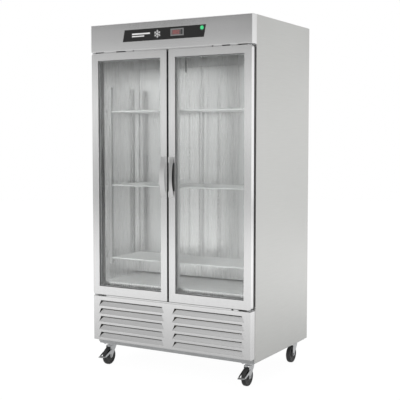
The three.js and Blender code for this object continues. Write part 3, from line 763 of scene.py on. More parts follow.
def snowflake(x, z, size, depths):
    """Six plain arms, each with one pair of twigs."""
    parts = []

    def bar(start, end, width):
        (xa, za), (xb, zb) = start, end
        length = math.hypot(xb - xa, zb - za)
        nx, nz = -(zb - za) / length * width / 2, (xb - xa) / length * width / 2
        corners = [(xa + nx, za + nz), (xb + nx, zb + nz), (xb - nx, zb - nz), (xa - nx, za - nz)]
        parts.append(slab(corners, *depths, facing_front))

    def at(angle, way):
        return x + way * math.cos(angle), z + way * math.sin(angle)

    for k in range(6):
        angle = math.radians(30 + 60 * k)
        bar(at(angle, 2), at(angle, size), 3.2)
        fork = at(angle, size * 0.55)
        for turn in (-1, 1):
            tip_angle = angle + turn * math.radians(55)
            tip = fork[0] + size * 0.34 * math.cos(tip_angle), fork[1] + size * 0.34 * math.sin(tip_angle)
            bar(fork, tip, 2.6)
    return gather(*parts)


SEGMENTS = {"3": "abcdg", "8": "abcdefg", "0": "abcdef"}


def digit(text, x, z, width, height, depths):
    """A seven-segment numeral whose lower left corner is at (x, z)."""
    half = height / 2
    places = {
        "a": ((0, 1), (height, height)), "b": ((1, 1), (half, height)), "c": ((1, 1), (0, half)),
        "d": ((0, 1), (0, 0)), "e": ((0, 0), (0, half)), "f": ((0, 0), (half, height)),
        "g": ((0, 1), (half, half)),
    }
    parts = []
    for segment in SEGMENTS[text]:
        (xa, xb), (za, zb) = places[segment]
        xs = (x + xa * width - 0.9, x + xb * width + 0.9) if xa == xb else (x + 1.6, x + width - 1.6)
        zs = (z + za - 0.9, z + zb + 0.9) if za == zb else (z + za + 1.6, z + zb - 1.6)
        parts.append(block(xs, depths, zs, 0.2, 1))
    return gather(*parts)


def display_unit():
    (x0, x1), (d0, d1), (z0, z1) = reach("display_module")
    bezel_rear = reach("control_badge")[1][0] - 0.1
    frame_profile = [
        (0, bezel_rear), (0.4, d0 + 1.2), (1.6, d0), (6, d0), (7.2, d0 + 1.0), (7.4, bezel_rear),
    ]
    case = gather(
        rim(frame_profile, (x0, x1), (z0, z1)),
        block((x0 + 7, x1 - 7), (bezel_rear, d1), (z0 + 6, z1 - 6), 1.0))
    piece("display_case", case, "bezel", nodes=("display_module",))
    window = slab(rounded_outline(x0 + 7, x1 - 22, z0 + 7, z1 - 7, 1), d0 + 0.9, bezel_rear, facing_front)
    piece("display_window", window, "screen", "cabinet")
    keys = [block((x1 - 19, x1 - 9), (d0 + 0.4, bezel_rear), (z, z + 5), 0.8)
            for z in (z0 + 8, z0 + 14.5, z0 + 21, z0 + 27.5)]
    piece("display_keys", gather(*keys), "dark_plastic", "cabinet")
    shown = (d0 + 0.6, d0 + 1.0)
    numerals = [digit(n, x0 + 14 + 15 * k, z0 + 11, 9, 18, shown) for k, n in enumerate("380")]
    point_mark = block((x0 + 40.2, x0 + 42.2), shown, (z0 + 9.5, z0 + 11.5), 0.2, 1)
    piece("display_digits", gather(*numerals, point_mark), "digit", "cabinet")


def power_button():
    x, _, z = middle_of("power_button")
    front, rear = reach("power_button")[1]
    centre = point(x, 0, z)
    lens = [(0, front), (5, front + 0.4), (8.6, front + 1.6), (10.6, front + 3.6), (11.2, front + 6.5)]
    body = [(11.2, 1.8), (14.8, 1.8), (14.8, 3.6), (11.0, 3.6), (11.0, rear), (0, rear)]
    piece("power_lens", lathe(lens + body, centre, "y", 40), "lamp_green", nodes=("power_button",))
    badge_front = reach("control_badge")[1][0]
    section = [
        (12.2, 0.1), (12.2, -2.4), (13.2, -3.0), (15.2, -2.2), (16.4, -0.6), (16.6, 0.1), (12.2, 0.1)]
    ring = [(radius, badge_front + way) for radius, way in section]
    piece("power_ring", lathe(ring, centre, "y", 40), "dark_plastic", "cabinet")


# ---- doors

GLASS_PANE = 4


def door(name, side):
    body = f"{name}_door"
    shell = refined(f"{name}_door_frame", "front_steel", 1.6, 3)
    paint_light_on_returns(shell)
    xs, (d0, d1), zs = reach(f"{name}_door_glass")
    for layer, near in (("outer", d0), ("inner", d1 - GLASS_PANE)):
        pane = block(xs, (near, near + GLASS_PANE), zs, 0.4, 1)
        nodes = (f"{name}_door_glass",) if layer == "outer" else ()
        piece(f"{name}_{layer}_pane", pane, "glass", body, nodes)
    between = (d0 + GLASS_PANE + 0.1, d1 - GLASS_PANE - 0.1)
    spacer = [(0.5, between[0]), (13.5, between[0]), (13.5, between[1]), (0.5, between[1])]
    piece(f"{name}_pane_spacer", rim(spacer, xs, zs), "spacer", body)
    wedge = [(6.6, d0 - 3.6), (8.4, d0 - 3.4), (10.6, d0 - 0.6), (10.6, d0 - 0.05), (6.6, d0 - 0.05)]
    piece(f"{name}_glazing_seal", rim(wedge, xs, zs), "seal", body)
    back_seal = [(a, d1 + d0 - d) for a, d in wedge]
    piece(f"{name}_inner_glazing_seal", rim(back_seal, xs, zs), "seal", body)
    gasket_seal(name)
    pull(name, side)
    for level in ("top", "bottom"):
        refined(f"{name}_{level}_hinge", "zinc", 0.5)


def gasket_seal(name):
    """A bellows with a magnet in its flat lip, round the back of the door."""
    xs, (d0, d1), zs = reach(f"{name}_door_gasket")
    profile = [
        (2, d0), (16, d0), (16, d0 + 2.6), (13, d0 + 5.4), (15.6, d0 + 9), (13.4, d0 + 12.6),
        (17.2, d0 + 14), (17.8, d0 + 15.2), (17.8, d1 - 0.8), (17, d1), (1, d1), (0.2, d1 - 0.8),
        (0.2, d0 + 15.2), (0.8, d0 + 14), (4.8, d0 + 12.6), (2.6, d0 + 9), (5.2, d0 + 5.4), (2, d0 + 2.6),
    ]
    piece(f"{name}_door_seal", rim(profile, xs, zs), "gasket", nodes=(f"{name}_door_gasket",), sharp=50)


PULL = {"inner": 13, "outer": 41, "crest": 0.52, "wall": 2.2, "foot": 35}


def pull(name, side):
    """A bowed scoop on two flat feet, closed towards the other door and open towards the glass."""
    xs, (front, rear), (z0, z1) = reach(f"{name}_door_handle")
    near, far = sorted(abs(x) for x in xs)
    high, middle, half = rear - front, (z0 + z1) / 2, (z1 - z0) / 2
    arc = [math.pi / 2 * i / 6 for i in range(7)]
    stations = 32

    def section(stand, crest, start, base):
        """A wall off the door, rounded over into a face that slopes up to the open side."""
        bend = min(5.0, crest * 0.7)
        wall = [(start, base)]
        wall += [(start + bend * (1 - math.cos(a)), crest - bend * (1 - math.sin(a))) for a in arc]
        return wall, (PULL["outer"], stand)

    rings = []
    for k in range(stations + 1):
        t = 2 * k / stations - 1
        swell = max(1 - t * t, 0.13)
        stand, crest = high * swell, high * PULL["crest"] * swell
        outside, lip = section(stand, crest, PULL["inner"], 0)
        inside, under = section(
            stand - PULL["wall"], crest - PULL["wall"] * 1.2, PULL["inner"] + PULL["wall"], 0)
        loop = outside + [(lip[0] - 0.8, lip[1]), (lip[0], lip[1] - 0.8), under] + inside[::-1]
        rings.append([point(side * u, rear - forward, middle + half * t) for u, forward in loop])
    count = len(rings[0])
    points = [p for ring in rings for p in ring]
    rows = [range(k * count, (k + 1) * count) for k in range(stations + 1)]
    faces = [list(rows[0]), list(reversed(rows[-1]))] + wrap(rows)
    feet = []
    for z in ((z0, z0 + PULL["foot"]), (z1 - PULL["foot"], z1)):
        outline = rounded_outline(*span(side, near, far), *z, 6)
        feet.append(slab(outline, rear - 3, rear, facing_front, 1.2))
    piece(f"{name}_pull", gather((points, faces), *feet), "pull_steel", nodes=(f"{name}_door_handle",))
    # A near-black sheet at the back of the pocket: painted shade for the dark inside of the scoop.
    recess = rounded_outline(
        *span(side, PULL["inner"] + PULL["wall"], far), z0 + PULL["foot"], z1 - PULL["foot"], 4)
    shade_sheet = slab(recess, rear - 0.8, rear, facing_front)
    piece(f"{name}_pull_painted_shade", shade_sheet, "shadow_grey", f"{name}_door")


# ---- interior

LINER = reach("inner_liner")
PLENUM = reach("plenum_panel")


def liner():
    """A folded tank, open to the front, with rounded inside corners."""
    (x0, x1), (d0, d1), (z0, z1) = LINER
    wall = 1.5
    bm = plain_box((x0 + wall, x1 - wall), (d0, d1 - wall), (z0 + wall, z1 - wall))
    open_side = [f for f in bm.faces if f.normal.y < -0.5]
    bmesh.ops.delete(bm, geom=open_side, context="FACES")
    round_edges(bm, 9, 4)
    bmesh.ops.reverse_faces(bm, faces=bm.faces)
    tank = piece("liner_tank", from_bmesh(bm), "liner_steel", nodes=("inner_liner",), thickness=wall)
    low = point(0, 0, z0 + 20).z
    skin_faces(tank, "liner_floor", lambda face: abs(face.normal.z) > 0.3 and face.center.z < low)


FAN_RADIUS = 52
DUCT_SEAMS = (23, 223)
DUCT_GROOVE = 12


def duct():
    """The duct panel in front of the coil: four panels under a top one with the fan's hole."""
    (x0, x1), (front, _), (z0, z1) = PLENUM
    _, _, fan_z = joint_place("evaporator_fan_spin")
    split = fan_z - 92
    near, far = DUCT_SEAMS
    panels = [
        pan((a + 0.5, b - 0.5), (z0, split - 0.5), 14, 3, front=front)
        for a, b in ((x0, -far), (-far, -near), (near, far), (far, x1))
    ]
    groove = front + DUCT_GROOVE
    panels.append(grid((-near - 1, near + 1), (z0, split), lambda x, z: point(x, groove, z)))
    panels.append(holed_plate((x0 + 0.5, x1 - 0.5), (split + 0.5, z1), (0, fan_z), FAN_RADIUS, front))
    returns = [
        grid([0, 1], [z0, z1], lambda u, v, x=x: point(x, front + 3 + u * 36, v)) for x in (x0, x1)
    ]
    sheet = gather(*panels, *returns)
    piece("duct_panels", sheet, "liner_steel", nodes=("plenum_panel",), thickness=1.0)
    fan_centre = point(0, front - 2.2, fan_z)
    guard = []
    for radius in (14, 27, 40, FAN_RADIUS + 4):
        ring = [
            fan_centre + Vector((math.cos(a), 0, math.sin(a))) * radius / 1000
            for a in (2 * math.pi * k / 32 for k in range(32))
        ]
        guard.append(tube(ring, 1.1, 6, closed=True))
    for k in range(6):
        turn = math.pi * k / 3
        arm = Vector((math.cos(turn), 0, math.sin(turn))) / 1000
        guard.append(tube([fan_centre + arm * 13, fan_centre + arm * (FAN_RADIUS + 8)], 1.3, 6))
    piece("fan_guard", gather(*guard), "zinc", "cabinet")
    motor = lathe(
        [(0, 36), (14, 36), (17, 40), (17, 58), (13, 62), (0, 62)], point(0, front, fan_z), "y", 24)
    strap_z = (fan_z - 8, fan_z + 8)
    bracket = block((-60, 60), (front + 50, front + 52.5), strap_z, 0.5)
    posts = [block((x, x + 3), (front + 1, front + 52), strap_z, 0.5) for x in (-60, 57)]
    piece("evaporator_fan_motor", gather(motor, bracket, *posts), "black_paint", "cabinet")


SLOT_PITCH = 25.4
SLOT = (5, 13)
CHANNEL = 11.5
CHANNEL_SHEET = 1.2
CLIP_REACH = 16
FRONT_CHANNEL = {"half": 22, "columns": (-15, 15)}
REAR_CHANNEL = {"inner": 22, "columns": (30, 97)}


def slotted_channel(path, columns, z_range, place):
    """A channel along Z. path gives its section, and columns the path cells that carry slots."""
    z0, z1 = z_range
    vs = [z0]
    count = int((z1 - z0 - 12) // SLOT_PITCH)
    for k in range(count):
        start = z0 + 12 + k * SLOT_PITCH
        vs += [start, start + SLOT[1]]
    vs.append(z1)
    return grid(path, vs, place, lambda i, j: i in columns and j % 2 == 1)


def shelf_clip(x, depth, z, dx, dd):
    """A bent clip: a tongue out from the pilaster with a small upright hook at its end."""
    half = 6
    tongue_x = (x, x + dx) if dx else (x - half, x + half)
    tongue_d = (depth, depth + dd) if dd else (depth - half, depth + half)
    tip_x = (x + dx - math.copysign(1.6, dx), x + dx) if dx else tongue_x
    tip_d = (depth + dd - math.copysign(1.6, dd), depth + dd) if dd else tongue_d
    return gather(
        block(tongue_x, tongue_d, (z - 3, z - 1.2), 0.5),
        block(tip_x, tip_d, (z - 3, z + 1.5), 0.5),
        block(
            (x, x + math.copysign(1.6, dx)) if dx else tongue_x,
            (depth, depth + math.copysign(1.6, dd)) if dd else tongue_d,
            (z - 12, z - 1.2), 0.5))


def ledges():
    """The heights of the shelf clips' tops."""
    return [reach(f"left_{level}_shelf")[2][0] - 0.3 for level in LEVELS]


def side_pilaster(node, side):
    xs, (d0, d1), zs = reach(node)
    wall = max(abs(x) for x in xs)
    face = wall - CHANNEL
    middle = (d0 + d1) / 2
    path = [(wall, d0), (face + 1, d0), (face, d0 + 1), (face, middle - SLOT[0] / 2),
            (face, middle + SLOT[0] / 2), (face, d1 - 1), (face + 1, d1), (wall, d1)]
    order = path if side > 0 else path[::-1]
    shape = slotted_channel(order, (3,), zs, lambda u, z: point(side * u[0], u[1], z))
    piece(f"{node}_channel", shape, "pilaster_steel", nodes=(node,), thickness=CHANNEL_SHEET)
    clips = [shelf_clip(side * face, middle, z, -side * CLIP_REACH, 0) for z in ledges()]
    piece(f"{node}_clips", gather(*clips), "zinc", "cabinet")


def centre_channel(xs, face, foot, columns, zs):
    """A slotted channel with its face at one depth and its feet at another."""
    (x0, x1), turn = xs, math.copysign(1, foot - face)
    path = [(x0, foot), (x0, face + turn), (x0 + 1, face)]
    slots = []
    for x in columns:
        slots.append(len(path))
        path += [(x - SLOT[0] / 2, face), (x + SLOT[0] / 2, face)]
    path += [(x1 - 1, face), (x1, face + turn), (x1, foot)]
    if turn < 0:
        last = len(path) - 1
        path = path[::-1]
        slots = [last - i - 1 for i in slots]
    return slotted_channel(path, slots, zs, lambda u, z: point(u[0], u[1], z))


def pilasters():
    for name, side in SIDES.items():
        side_pilaster(f"front_{name}_pilaster", side)
        side_pilaster(f"rear_{name}_pilaster", side)
    _, (foot, _), zs = reach("front_centre_pilaster")
    face = reach("left_lower_shelf")[1][0] - 2
    half, columns = FRONT_CHANNEL["half"], FRONT_CHANNEL["columns"]
    channel = centre_channel((-half, half), face, foot, columns, zs)
    piece("front_centre_channel", channel, "liner_steel", nodes=("front_centre_pilaster",),
          thickness=CHANNEL_SHEET)
    clips = [shelf_clip(x, face, z, 0, CLIP_REACH) for z in ledges() for x in columns]
    piece("front_centre_clips", gather(*clips), "zinc", "cabinet")
    (_, outer), (_, foot), zs = reach("rear_centre_pilaster")
    face = foot - CHANNEL
    channels, places = [], []
    for side in SIDES.values():
        columns = [side * x for x in REAR_CHANNEL["columns"]]
        xs = span(side, REAR_CHANNEL["inner"], outer)
        channels.append(centre_channel(xs, face, foot, sorted(columns), zs))
        places += columns
    piece("rear_centre_channels", gather(*channels), "liner_steel", nodes=("rear_centre_pilaster",),
          thickness=CHANNEL_SHEET)
    clips = [shelf_clip(x, face, z, 0, -CLIP_REACH) for z in ledges() for x in places]
    piece("rear_centre_clips", gather(*clips), "zinc", "cabinet")


SHELF_WIRES = 33
SHELF_RODS = 5


def wire_shelf(node):
    """A welded rack: a rim of heavy rod, cross rods under the deck and fine wires on top."""
    (x0, x1), (d0, d1), (_, z1) = reach(node)
    low = z1 - 5.5
    inset = 3.5
    left, right, near, far = x0 + inset, x1 - inset, d0 + inset, d1 - inset
    corners = [point(x, d, low) for x, d in ((left, near), (right, near), (right, far), (left, far))]
    rods = [tube(fillet(corners, 10, closed=True), 3.4, 10, closed=True)]
    for k in range(SHELF_RODS):
        d = d0 + (d1 - d0) * (k + 1) / (SHELF_RODS + 1)
        rods.append(tube([point(x0 + 3, d, low), point(x1 - 3, d, low)], 2.6, 8))
    for k in range(SHELF_WIRES):
        x = x0 + 10 + (x1 - x0 - 20) * k / (SHELF_WIRES - 1)
        path = [point(x, d0 + 2.5, low - 1), point(x, d0 + 2.5, z1 - 1.6), point(x, d1 - 2.5, z1 - 1.6),
                point(x, d1 - 2.5, low - 1)]
        rods.append(tube(fillet(path, 2.2, steps=2), 1.6, 6))
    piece(f"{node}_rack", gather(*rods), "shelf_wire", nodes=(node,))


def interior_fittings():
    refined("interior_light", "white_plastic", 1.5, 3)
    (x0, x1), (d0, d1), (z0, z1) = reach("interior_light")
    caps = [block((x, x + 8), (d0, d1 + 0.6), (z0 - 0.6, z1 + 0.4), 1.5) for x in (x0 - 2, x1 - 6)]
    piece("lamp_end_caps", gather(*caps), "dark_plastic", "cabinet")
    ceiling = LINER[2][1] - 1.5
    bulb = [(0, 1706), (2.6, 1707), (4, 1710), (4, 1775), (2.2, 1778), (2.2, 1896), (6, 1898), (9, 1908),
            (9, ceiling), (0, ceiling)]
    piece("thermostat_probe", lathe(bulb, point(0, 200, 0), "z", 20), "dark_plastic", "cabinet")


# ---- refrigeration


def fan(node, joint, hub_radius, pitch):
    """Five swept blades, each a twisted sheet, on a capped hub."""
    (x0, x1), (d0, d1), _ = reach(node)
    cx, _, cz = joint_place(joint)
    radius = (x1 - x0) / 2
    middle = (d0 + d1) / 2
    blades = []
    for k in range(5):
        start = 2 * math.pi * k / 5

        def place(u, v, start=start):
            r = (hub_radius - 2) + (radius - 1 - hub_radius + 2) * v
            chord = (0.42 + 0.2 * v) * radius
            sweep = start + 0.25 * v + (u - 0.5) * chord / r
            way = (u - 0.5) * pitch * (1 - 0.35 * v)
            arch = 0.05 * radius * (1 - (2 * u - 1) ** 2)
            return point(cx + r * math.cos(sweep), middle + way - arch, cz + r * math.sin(sweep))

        steps = [i / 8 for i in range(9)]
        blades.append(grid(steps, [i / 6 for i in range(7)], place))
    skin = "white_plastic" if "evaporator" in node else "black_paint"
    piece(f"{node}_blades", gather(*blades), skin, nodes=(node,), thickness=1.4)
    half = (d1 - d0) * 0.36
    hub = [(0, -half), (hub_radius * 0.7, -half), (hub_radius, -half * 0.6), (hub_radius, half), (0, half)]
    body = frame["nodes"][node]["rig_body"]
    piece(f"{node}_hub", lathe(hub, point(cx, middle, cz), "y", 28), skin, body)


def finned_coil(name, xs, depths, zs, fins, rows, columns):
    """Thin fins on rows of copper tube, joined by bends outside the end plates."""
    (x0, x1), (d0, d1), (z0, z1) = xs, depths, zs
    plates = []
    for k in range(fins):
        x = x0 + 14 + (x1 - x0 - 28.6) * k / (fins - 1)
        plates.append(block((x, x + 0.6), (d0 + 1, d1 - 1), (z0 + 1, z1 - 1), 0.1, 1))
    piece(f"{name}_fins", gather(*plates), "fins", nodes=(f"{name}_coil",))
    ends = [block((x, x + 1.5), depths, zs, 0.5) for x in (x0 + 11, x1 - 12.5)]
    piece(f"{name}_end_plates", gather(*ends), "galvanised", "cabinet")
    pipes = []
    for c in range(columns):
        d = d0 + (d1 - d0) * (c + 0.5) / columns
        heights = [z0 + (z1 - z0) * (r + 0.5) / rows for r in range(rows)]
        bend = (heights[1] - heights[0]) / 2
        path = []
        for r, z in enumerate(heights):
            ends = (x0 + 10, x1 - 10) if r % 2 == 0 else (x1 - 10, x0 + 10)
            path += [point(x, d, z) for x in ends]
        pipes.append(tube(fillet(path, bend * 0.98 if bend < 9 else 9, steps=4), 4.6, 8))
    piece(f"{name}_tubes", gather(*pipes), "copper", "cabinet")


BASE_FLOOR = 130.4


def condensing_unit():
    (x0, x1), (d0, _), (_, z1) = reach("condenser_coil")
    cx, _, cz = joint_place("condenser_fan_spin")
    coil_rear, shroud = d0 + 50, d0 + 80
    coil_bottom = 158
    finned_coil("condenser", (x0, x1), (d0, coil_rear), (coil_bottom, z1), 60, 9, 2)
    hood = gather(
        holed_plate((x0, x1), (coil_bottom, z1), (cx, cz), 100, shroud),
        grid([coil_rear, shroud], [x0, x1], lambda d, x: point(x, d, z1)),
        grid([shroud, coil_rear], [x0, x1], lambda d, x: point(x, d, coil_bottom)),
        grid([coil_bottom, z1], [coil_rear, shroud], lambda z, d: point(x0, d, z)),
        grid([z1, coil_bottom], [coil_rear, shroud], lambda z, d: point(x1, d, z)))
    piece("condenser_shroud", hood, "black_paint", "cabinet", thickness=1.2)
    motor = lathe(
        [(0, 34), (26, 34), (30, 38), (30, 70), (25, 77), (0, 77)], point(cx, shroud, cz), "y", 28)
    strap = block((cx - 110, cx + 110), (shroud + 70, shroud + 73), (cz - 8, cz + 8), 0.6)
    posts = [
        block((x - 3, x + 3), (shroud - 1, shroud + 73), (cz - 8, cz + 8), 0.8)
        for x in (cx - 108, cx + 108)]
    feet = [block((x, x + 30), (d0 + 10, d0 + 40), (BASE_FLOOR, 159), 1.2) for x in (x0 + 20, x1 - 50)]
    piece("condenser_motor", gather(motor, strap, *posts, *feet), "black_paint", "cabinet")


def compressor():
    (x0, x1), (d0, d1), _ = reach("compressor")
    cx, cd = (x0 + x1) / 2, (d0 + d1) / 2
    floor = 148
    pot = [
        (0, 0), (54, 0), (66, 6), (74, 18), (77, 34), (77.4, 56), (77.4, 86), (80, 88), (80, 94),
        (77.4, 96), (76.6, 118), (73, 140), (64, 158), (48, 172), (26, 182), (0, 186.5),
    ]
    shell = lathe(pot, point(cx, cd, floor), "z", 48)
    plate = slab(rounded_outline(x0, x1, cd - 70, cd + 70, 14), floor - 5, floor + 1, point, 0.8)
    piece("compressor_shell", gather(shell, plate), "black_paint", nodes=("compressor",))
    foot = [(0, 0), (12, 0), (12, 6), (9, 8), (11, 12.6), (0, 12.6)]
    feet = [
        lathe(foot, point(cx + sx * 88, cd + sy * 54, BASE_FLOOR), "z", 20)
        for sx in (-1, 1) for sy in (-1, 1)]
    piece("compressor_feet", gather(*feet), "gasket", "cabinet")
    cover = block((cx + 72, cx + 98), (cd - 24, cd + 24), (floor + 52, floor + 112), 4, 3)
    piece("compressor_relay", cover, "dark_plastic", "cabinet")
    condenser_x1 = reach("condenser_coil")[0][1]
    coil_d = reach("condenser_coil")[1][0] + 25
    discharge = [
        point(cx - 60, cd - 30, floor + 130), point(cx - 110, cd - 60, floor + 150),
        point(condenser_x1 + 40, coil_d, floor + 150), point(condenser_x1 + 30, coil_d, 385),
        point(condenser_x1 - 14, coil_d, 385)]
    suction = [
        point(cx + 20, cd + 60, floor + 140), point(cx + 30, cd + 110, floor + 170),
        point(cx + 30, 700, floor + 190), point(cx + 30, 700, 416)]
    stub = [
        point(cx, cd + 70, floor + 90), point(cx, cd + 100, floor + 96),
        point(cx - 30, cd + 112, floor + 98)]
    pipes = [tube(fillet(path, 18), r, 10) for path, r in ((discharge, 3.2), (suction, 5), (stub, 3.2))]
    piece("refrigerant_pipes", gather(*pipes), "copper", "cabinet")


def refrigeration():
    xs, depths, zs = reach("evaporator_coil")
    finned_coil("evaporator", xs, depths, zs, 90, 10, 3)
    fan("evaporator_fan", "evaporator_fan_spin", 15, 18)
    condensing_unit()
    fan("condenser_fan", "condenser_fan_spin", 24, 28)
    compressor()
    refined("condensate_pan", "dark_plastic", 1.0)


# ---- casters

WHEEL = 50.8


def wheel(name, centre):
    body = f"{name}_wheel"
    half = 12.5
    tread = [
        (41, -half + 2), (43, -half), (46, -half), (48.8, -half + 1.4), (50.3, -half + 4.4), (WHEEL, -3)]
    ring = tread + [(r, -w) for r, w in reversed(tread)] + [tread[0]]
    piece(f"{name}_tyre", lathe(ring, centre, "x", 64), "tyre", nodes=(f"{name}_caster_wheel",))
    face = [(5.6, 13.8), (15, 13.8), (17.5, 12.5), (19, 8.5), (24, 6.5), (34, 6.5), (38, 8.5), (41.2, 10.6)]
    disc = [(r, -w) for r, w in face] + list(reversed(face)) + [(face[0][0], -face[0][1])]
    ribs = []
    for k in range(8):
        turn = 2 * math.pi * k / 8
        out = Vector((0, math.cos(turn), math.sin(turn)))
        ribs.append(tube([centre + out * 0.018, centre + out * 0.0395], 7.6, 8))
    piece(f"{name}_hub", gather(lathe(disc, centre, "x", 48), *ribs), "hub", body)


def fork(name, x, d, trail, with_brake):
    """Two pressed legs under a round crown, with the axle bolt."""
    boss = (-trail, WHEEL)
    outline = [(-33, 113), (22, 113), (20, 103), (13, 92)]
    outline += [(boss[0] + 11 * math.cos(a), boss[1] + 11 * math.sin(a))
                for a in (math.radians(-20 - 25 * k) for k in range(8))]
    outline += [(-42, 66), (-38, 92)]
    placed = [(d + y, z) for y, z in outline]
    shapes = []
    for side in (-1, 1):
        shapes.append(slab(placed, x + side * 15, x + side * 18, facing_side, 0.7))
    shapes.append(block((x - 18, x + 18), (d - 32, d + 22), (109, 113), 1.5))
    crown = [(6, 110), (20, 110), (22.5, 112.5), (22, 116), (19, 118.3), (6, 118.3), (6, 110)]
    shapes.append(lathe(crown, point(x, d, 0), "z", 32))
    shapes += [axle_nut(x - 22, x - 18, d - trail), axle_nut(x + 18, x + 22, d - trail)]
    shapes.append(tube([point(x - 23.5, d - trail, WHEEL), point(x + 23.5, d - trail, WHEEL)], 4.2, 14))
    if with_brake:
        pivot = reach(f"{name}_brake_pedal")
        y, z = d - 26, 84
        shapes.append(tube([point(pivot[0][0] - 1, y, z), point(pivot[0][1] + 1, y, z)], 2.8, 12))
    piece(f"{name}_fork", gather(*shapes), "zinc", nodes=(f"{name}_caster_fork",))


def axle_nut(x0, x1, depth, radius=8):
    turns = [math.pi * k / 3 for k in range(6)]
    corners = [(depth + radius * math.cos(turn), WHEEL + radius * math.sin(turn)) for turn in turns]
    return slab(corners, x0, x1, facing_side, 0.6)


def top_plate(name, x, d):
    (x0, x1), (d0, d1), (_, top) = reach(f"{name}_caster_plate")
    outline = rounded_outline(x0, x1, d0, d1, 8)
    shapes = [slab(outline, top - 4, top, point, 0.6)]
    race = [
        (0, top - 3), (25, top - 3), (24.5, top - 6), (23, 119.4), (6, 119.2), (4.8, 118), (4.8, 104.6),
        (0, 104.6)]
    shapes.append(lathe(race, point(x, d, 0), "z", 32))
    shapes.append(lathe([(0, 107), (8, 107), (8, 104), (6.5, 103.6), (0, 103.6)], point(x, d, 0), "z", 6))
    bolt = [(0, 0), (6, 0), (6, -4), (5, -4.8), (0, -4.8)]
    for sx in (-1, 1):
        for sd in (-1, 1):
            place = point((x0 + x1) / 2 + sx * 23, (d0 + d1) / 2 + sd * 36, top - 4)
            shapes.append(lathe(bolt, place, "z", 6))
    piece(f"{name}_top_plate", gather(*shapes), "zinc", nodes=(f"{name}_caster_plate",))


def pedal(name, x, d):
    """Two arms outside the fork, joined by a toe plate with a ribbed pad."""
    arm = [
        (-19, 82), (-20, 88), (-24, 91.5), (-30, 91), (-40, 87), (-92, 62.5), (-93, 55), (-84, 55),
        (-26, 76)]
    outline = [(d + y, z) for y, z in arm]
    shapes = [slab(outline, x + side * 18.8, x + side * 21.3, facing_side, 0.6) for side in (-1, 1)]
    toe = [(-21, -88), (-21, -99), (-12, -120), (12, -120), (21, -99), (21, -88)]
    placed = [(x + a, d + y) for a, y in toe]
    shapes.append(slab(placed, 55, 58, point, 0.7))
    piece(f"{name}_pedal", gather(*shapes), "zinc", nodes=(f"{name}_brake_pedal",))
    ribs = []
    for k in range(6):
        half, way = 11 - 1.5 * k if k > 3 else 12, d - 3.6 * k
        ribs.append(block((x - half, x + half), (way - 97, way - 94.6), (57.8, 59.4), 0.5, 1))
    pad = [(x + 0.9 * a, d - 104 + 0.86 * (y + 104)) for a, y in toe]
    pads = gather(slab(pad, 57.9, 58.6, point), *ribs)
    piece(f"{name}_pedal_pad", pads, "bezel", f"{name}_brake")


def casters():
    for row in ("front", "rear"):
        for side_name in SIDES:
            name = f"{row}_{side_name}"
            x, d, _ = joint_place(f"{name}_caster_swivel")
            _, wheel_d, wheel_z = joint_place(f"{name}_wheel_roll")
            top_plate(name, x, d)
            fork(name, x, d, d - wheel_d, row == "front")
            wheel(name, point(x, wheel_d, wheel_z))
            if row == "front":
                pedal(name, x, d)


# ---- studio


# What the object mirrors: (elevation in degrees, brightness) from the lowest to the zenith.
STUDIO = [
    (-14, 0.5), (-4, 0.52), (-1.5, 0.52), (1.5, 1.22), (3.6, 1.02), (6.8, 0.28), (15, 0.26), (30, 0.6),
    (60, 1.2), (90, 1.3),
]
BAND_STRENGTH = 2
SIDE_GLOW = 1.0
SIDE_GLOW_HIGH_UP = 0.62


def studio_world():
    """White to the camera. What the object mirrors is a grey studio, banded by height, with an
    even glow to the right that fades with height."""
    world = bpy.data.worlds.new("studio")
    bpy.context.scene.world = world
    g = Graph("studio", world)
    way = g.add("SeparateXYZ", {0: g.add("TexCoord").outputs["Generated"]})
    low, high = math.sin(math.radians(STUDIO[0][0])), 1.0
    marks = [((math.sin(math.radians(e)) - low) / (high - low), b / BAND_STRENGTH) for e, b in STUDIO]
    bands = g.ramp(g.spread(way.outputs["Z"], 0, 1, low, high), marks)
    lit = g.add("Background", {"Color": bands, "Strength": BAND_STRENGTH})
    glow = g.spread(way.outputs["Z"], 1.0, SIDE_GLOW_HIGH_UP, 0.05, 0.2)
    beside = g.add("Background", {"Color": grey(SIDE_GLOW), "Strength": glow})
    around = g.mix(g.spread(way.outputs["X"], 0, 1, 0.05, 0.4), lit, beside)
    seen = g.add("Background", {"Color": grey(1)})
    g.finish(g.mix(g.add("LightPath").outputs["Is Camera Ray"], around, seen), "OutputWorld")


def soft_light(name, place, target, size, power):
    """An area light aimed at a target, which lights surfaces but isn't mirrored in them."""
    data = bpy.data.lights.new(name, "AREA")
    data.shape = "RECTANGLE"
    data.size, data.size_y = size
    data.energy = power
    obj = bpy.data.objects.new(name, data)
    obj.location = place
    obj.visible_glossy = False
    obj.rotation_euler = (Vector(target) - Vector(place)).to_track_quat("-Z", "Y").to_euler()
    bpy.context.scene.collection.objects.link(obj)


FLOOR_RADIUS = 14
# How bright the floor looks to the object: (share of the radius, brightness). The dim middle is a painted
# shadow of the cabinet, and the fade outward is painted falloff of the light.
FLOOR_GLOW_AND_PAINTED_SHADE = [(0, 0.5), (0.09, 0.68), (0.2, 0.98), (0.35, 1.1), (0.6, 0.9), (0.95, 0.52), (1, 0.52)]
FLOOR_SHADOW = 0.08
FLOOR_WHITE = 1.05


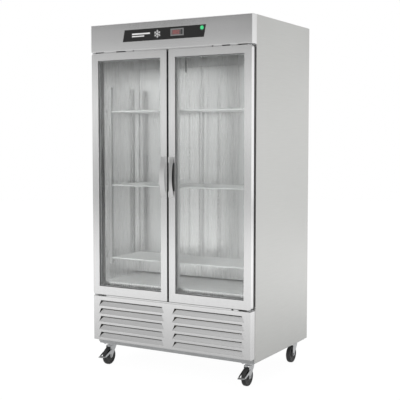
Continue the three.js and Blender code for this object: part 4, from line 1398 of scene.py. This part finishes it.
def studio_floor():
    """White to the camera, with a trace of shadow. The object sees it glow with painted shade: dim near the
    middle, where the cabinet stands, and fading away with distance.
    """
    g = Graph("pale_floor")
    cloud = g.noise((0.6, 0.6, 0.6), 2)
    ground = g.add("BsdfDiffuse", {"Color": g.blend(g.spread(cloud, 0, 1), grey(0.80), grey(0.82))})
    white = g.add("Emission", {"Color": grey(1.0), "Strength": FLOOR_WHITE})
    plain = g.mix(FLOOR_SHADOW, white, ground)
    place = g.add("TexCoord").outputs["Object"]
    way = g.add("VectorMath", {0: place}, operation="LENGTH").outputs["Value"]
    # Painted shade: the glow the object sees is dimmer near the middle and fades outward.
    glow = g.ramp(g.spread(way, 0, 1, 0, FLOOR_RADIUS), FLOOR_GLOW_AND_PAINTED_SHADE)
    mirrored = g.add("Emission", {"Color": glow})
    surface = g.mix(g.add("LightPath").outputs["Is Camera Ray"], mirrored, plain)
    mesh = bpy.data.meshes.new("studio_floor")
    bm = bmesh.new()
    bmesh.ops.create_circle(bm, cap_ends=True, segments=96, radius=FLOOR_RADIUS)
    bm.to_mesh(mesh)
    bm.free()
    mesh.materials.append(g.finish(surface))
    obj = bpy.data.objects.new("studio_floor", mesh)
    bpy.context.scene.collection.objects.link(obj)


# Places in metres, angles in degrees.
CAMERA = {"place": (2.5406, -4.3915, 1.3289), "tilt": 86.0, "turn": 30.08, "lens": 77.76, "sensor": 36}
LIGHT = {"place": (0.4, -4.2, 2.9), "target": (0, 0, 0.8), "size": (2.4, 1.0), "power": 45}


def studio():
    studio_world()
    studio_floor()
    soft_light("front_light", **LIGHT)
    camera = bpy.data.cameras.new("photo_camera")
    camera.lens = CAMERA["lens"]
    camera.sensor_width = CAMERA["sensor"]
    obj = bpy.data.objects.new("photo_camera", camera)
    obj.location = CAMERA["place"]
    obj.rotation_euler = (math.radians(CAMERA["tilt"]), 0, math.radians(CAMERA["turn"]))
    bpy.context.scene.collection.objects.link(obj)
    bpy.context.scene.camera = obj
    bpy.context.scene.view_settings.view_transform = "Standard"


# ---- assembly

cabinet_shell()
header()
grille()
gap_strips()
badge()
display_unit()
power_button()
for side_name, side_sign in SIDES.items():
    door(side_name, side_sign)
liner()
duct()
pilasters()
for bay in SIDES:
    for level in LEVELS:
        wire_shelf(f"{bay}_{level}_shelf")
interior_fittings()
refrigeration()
casters()
studio()
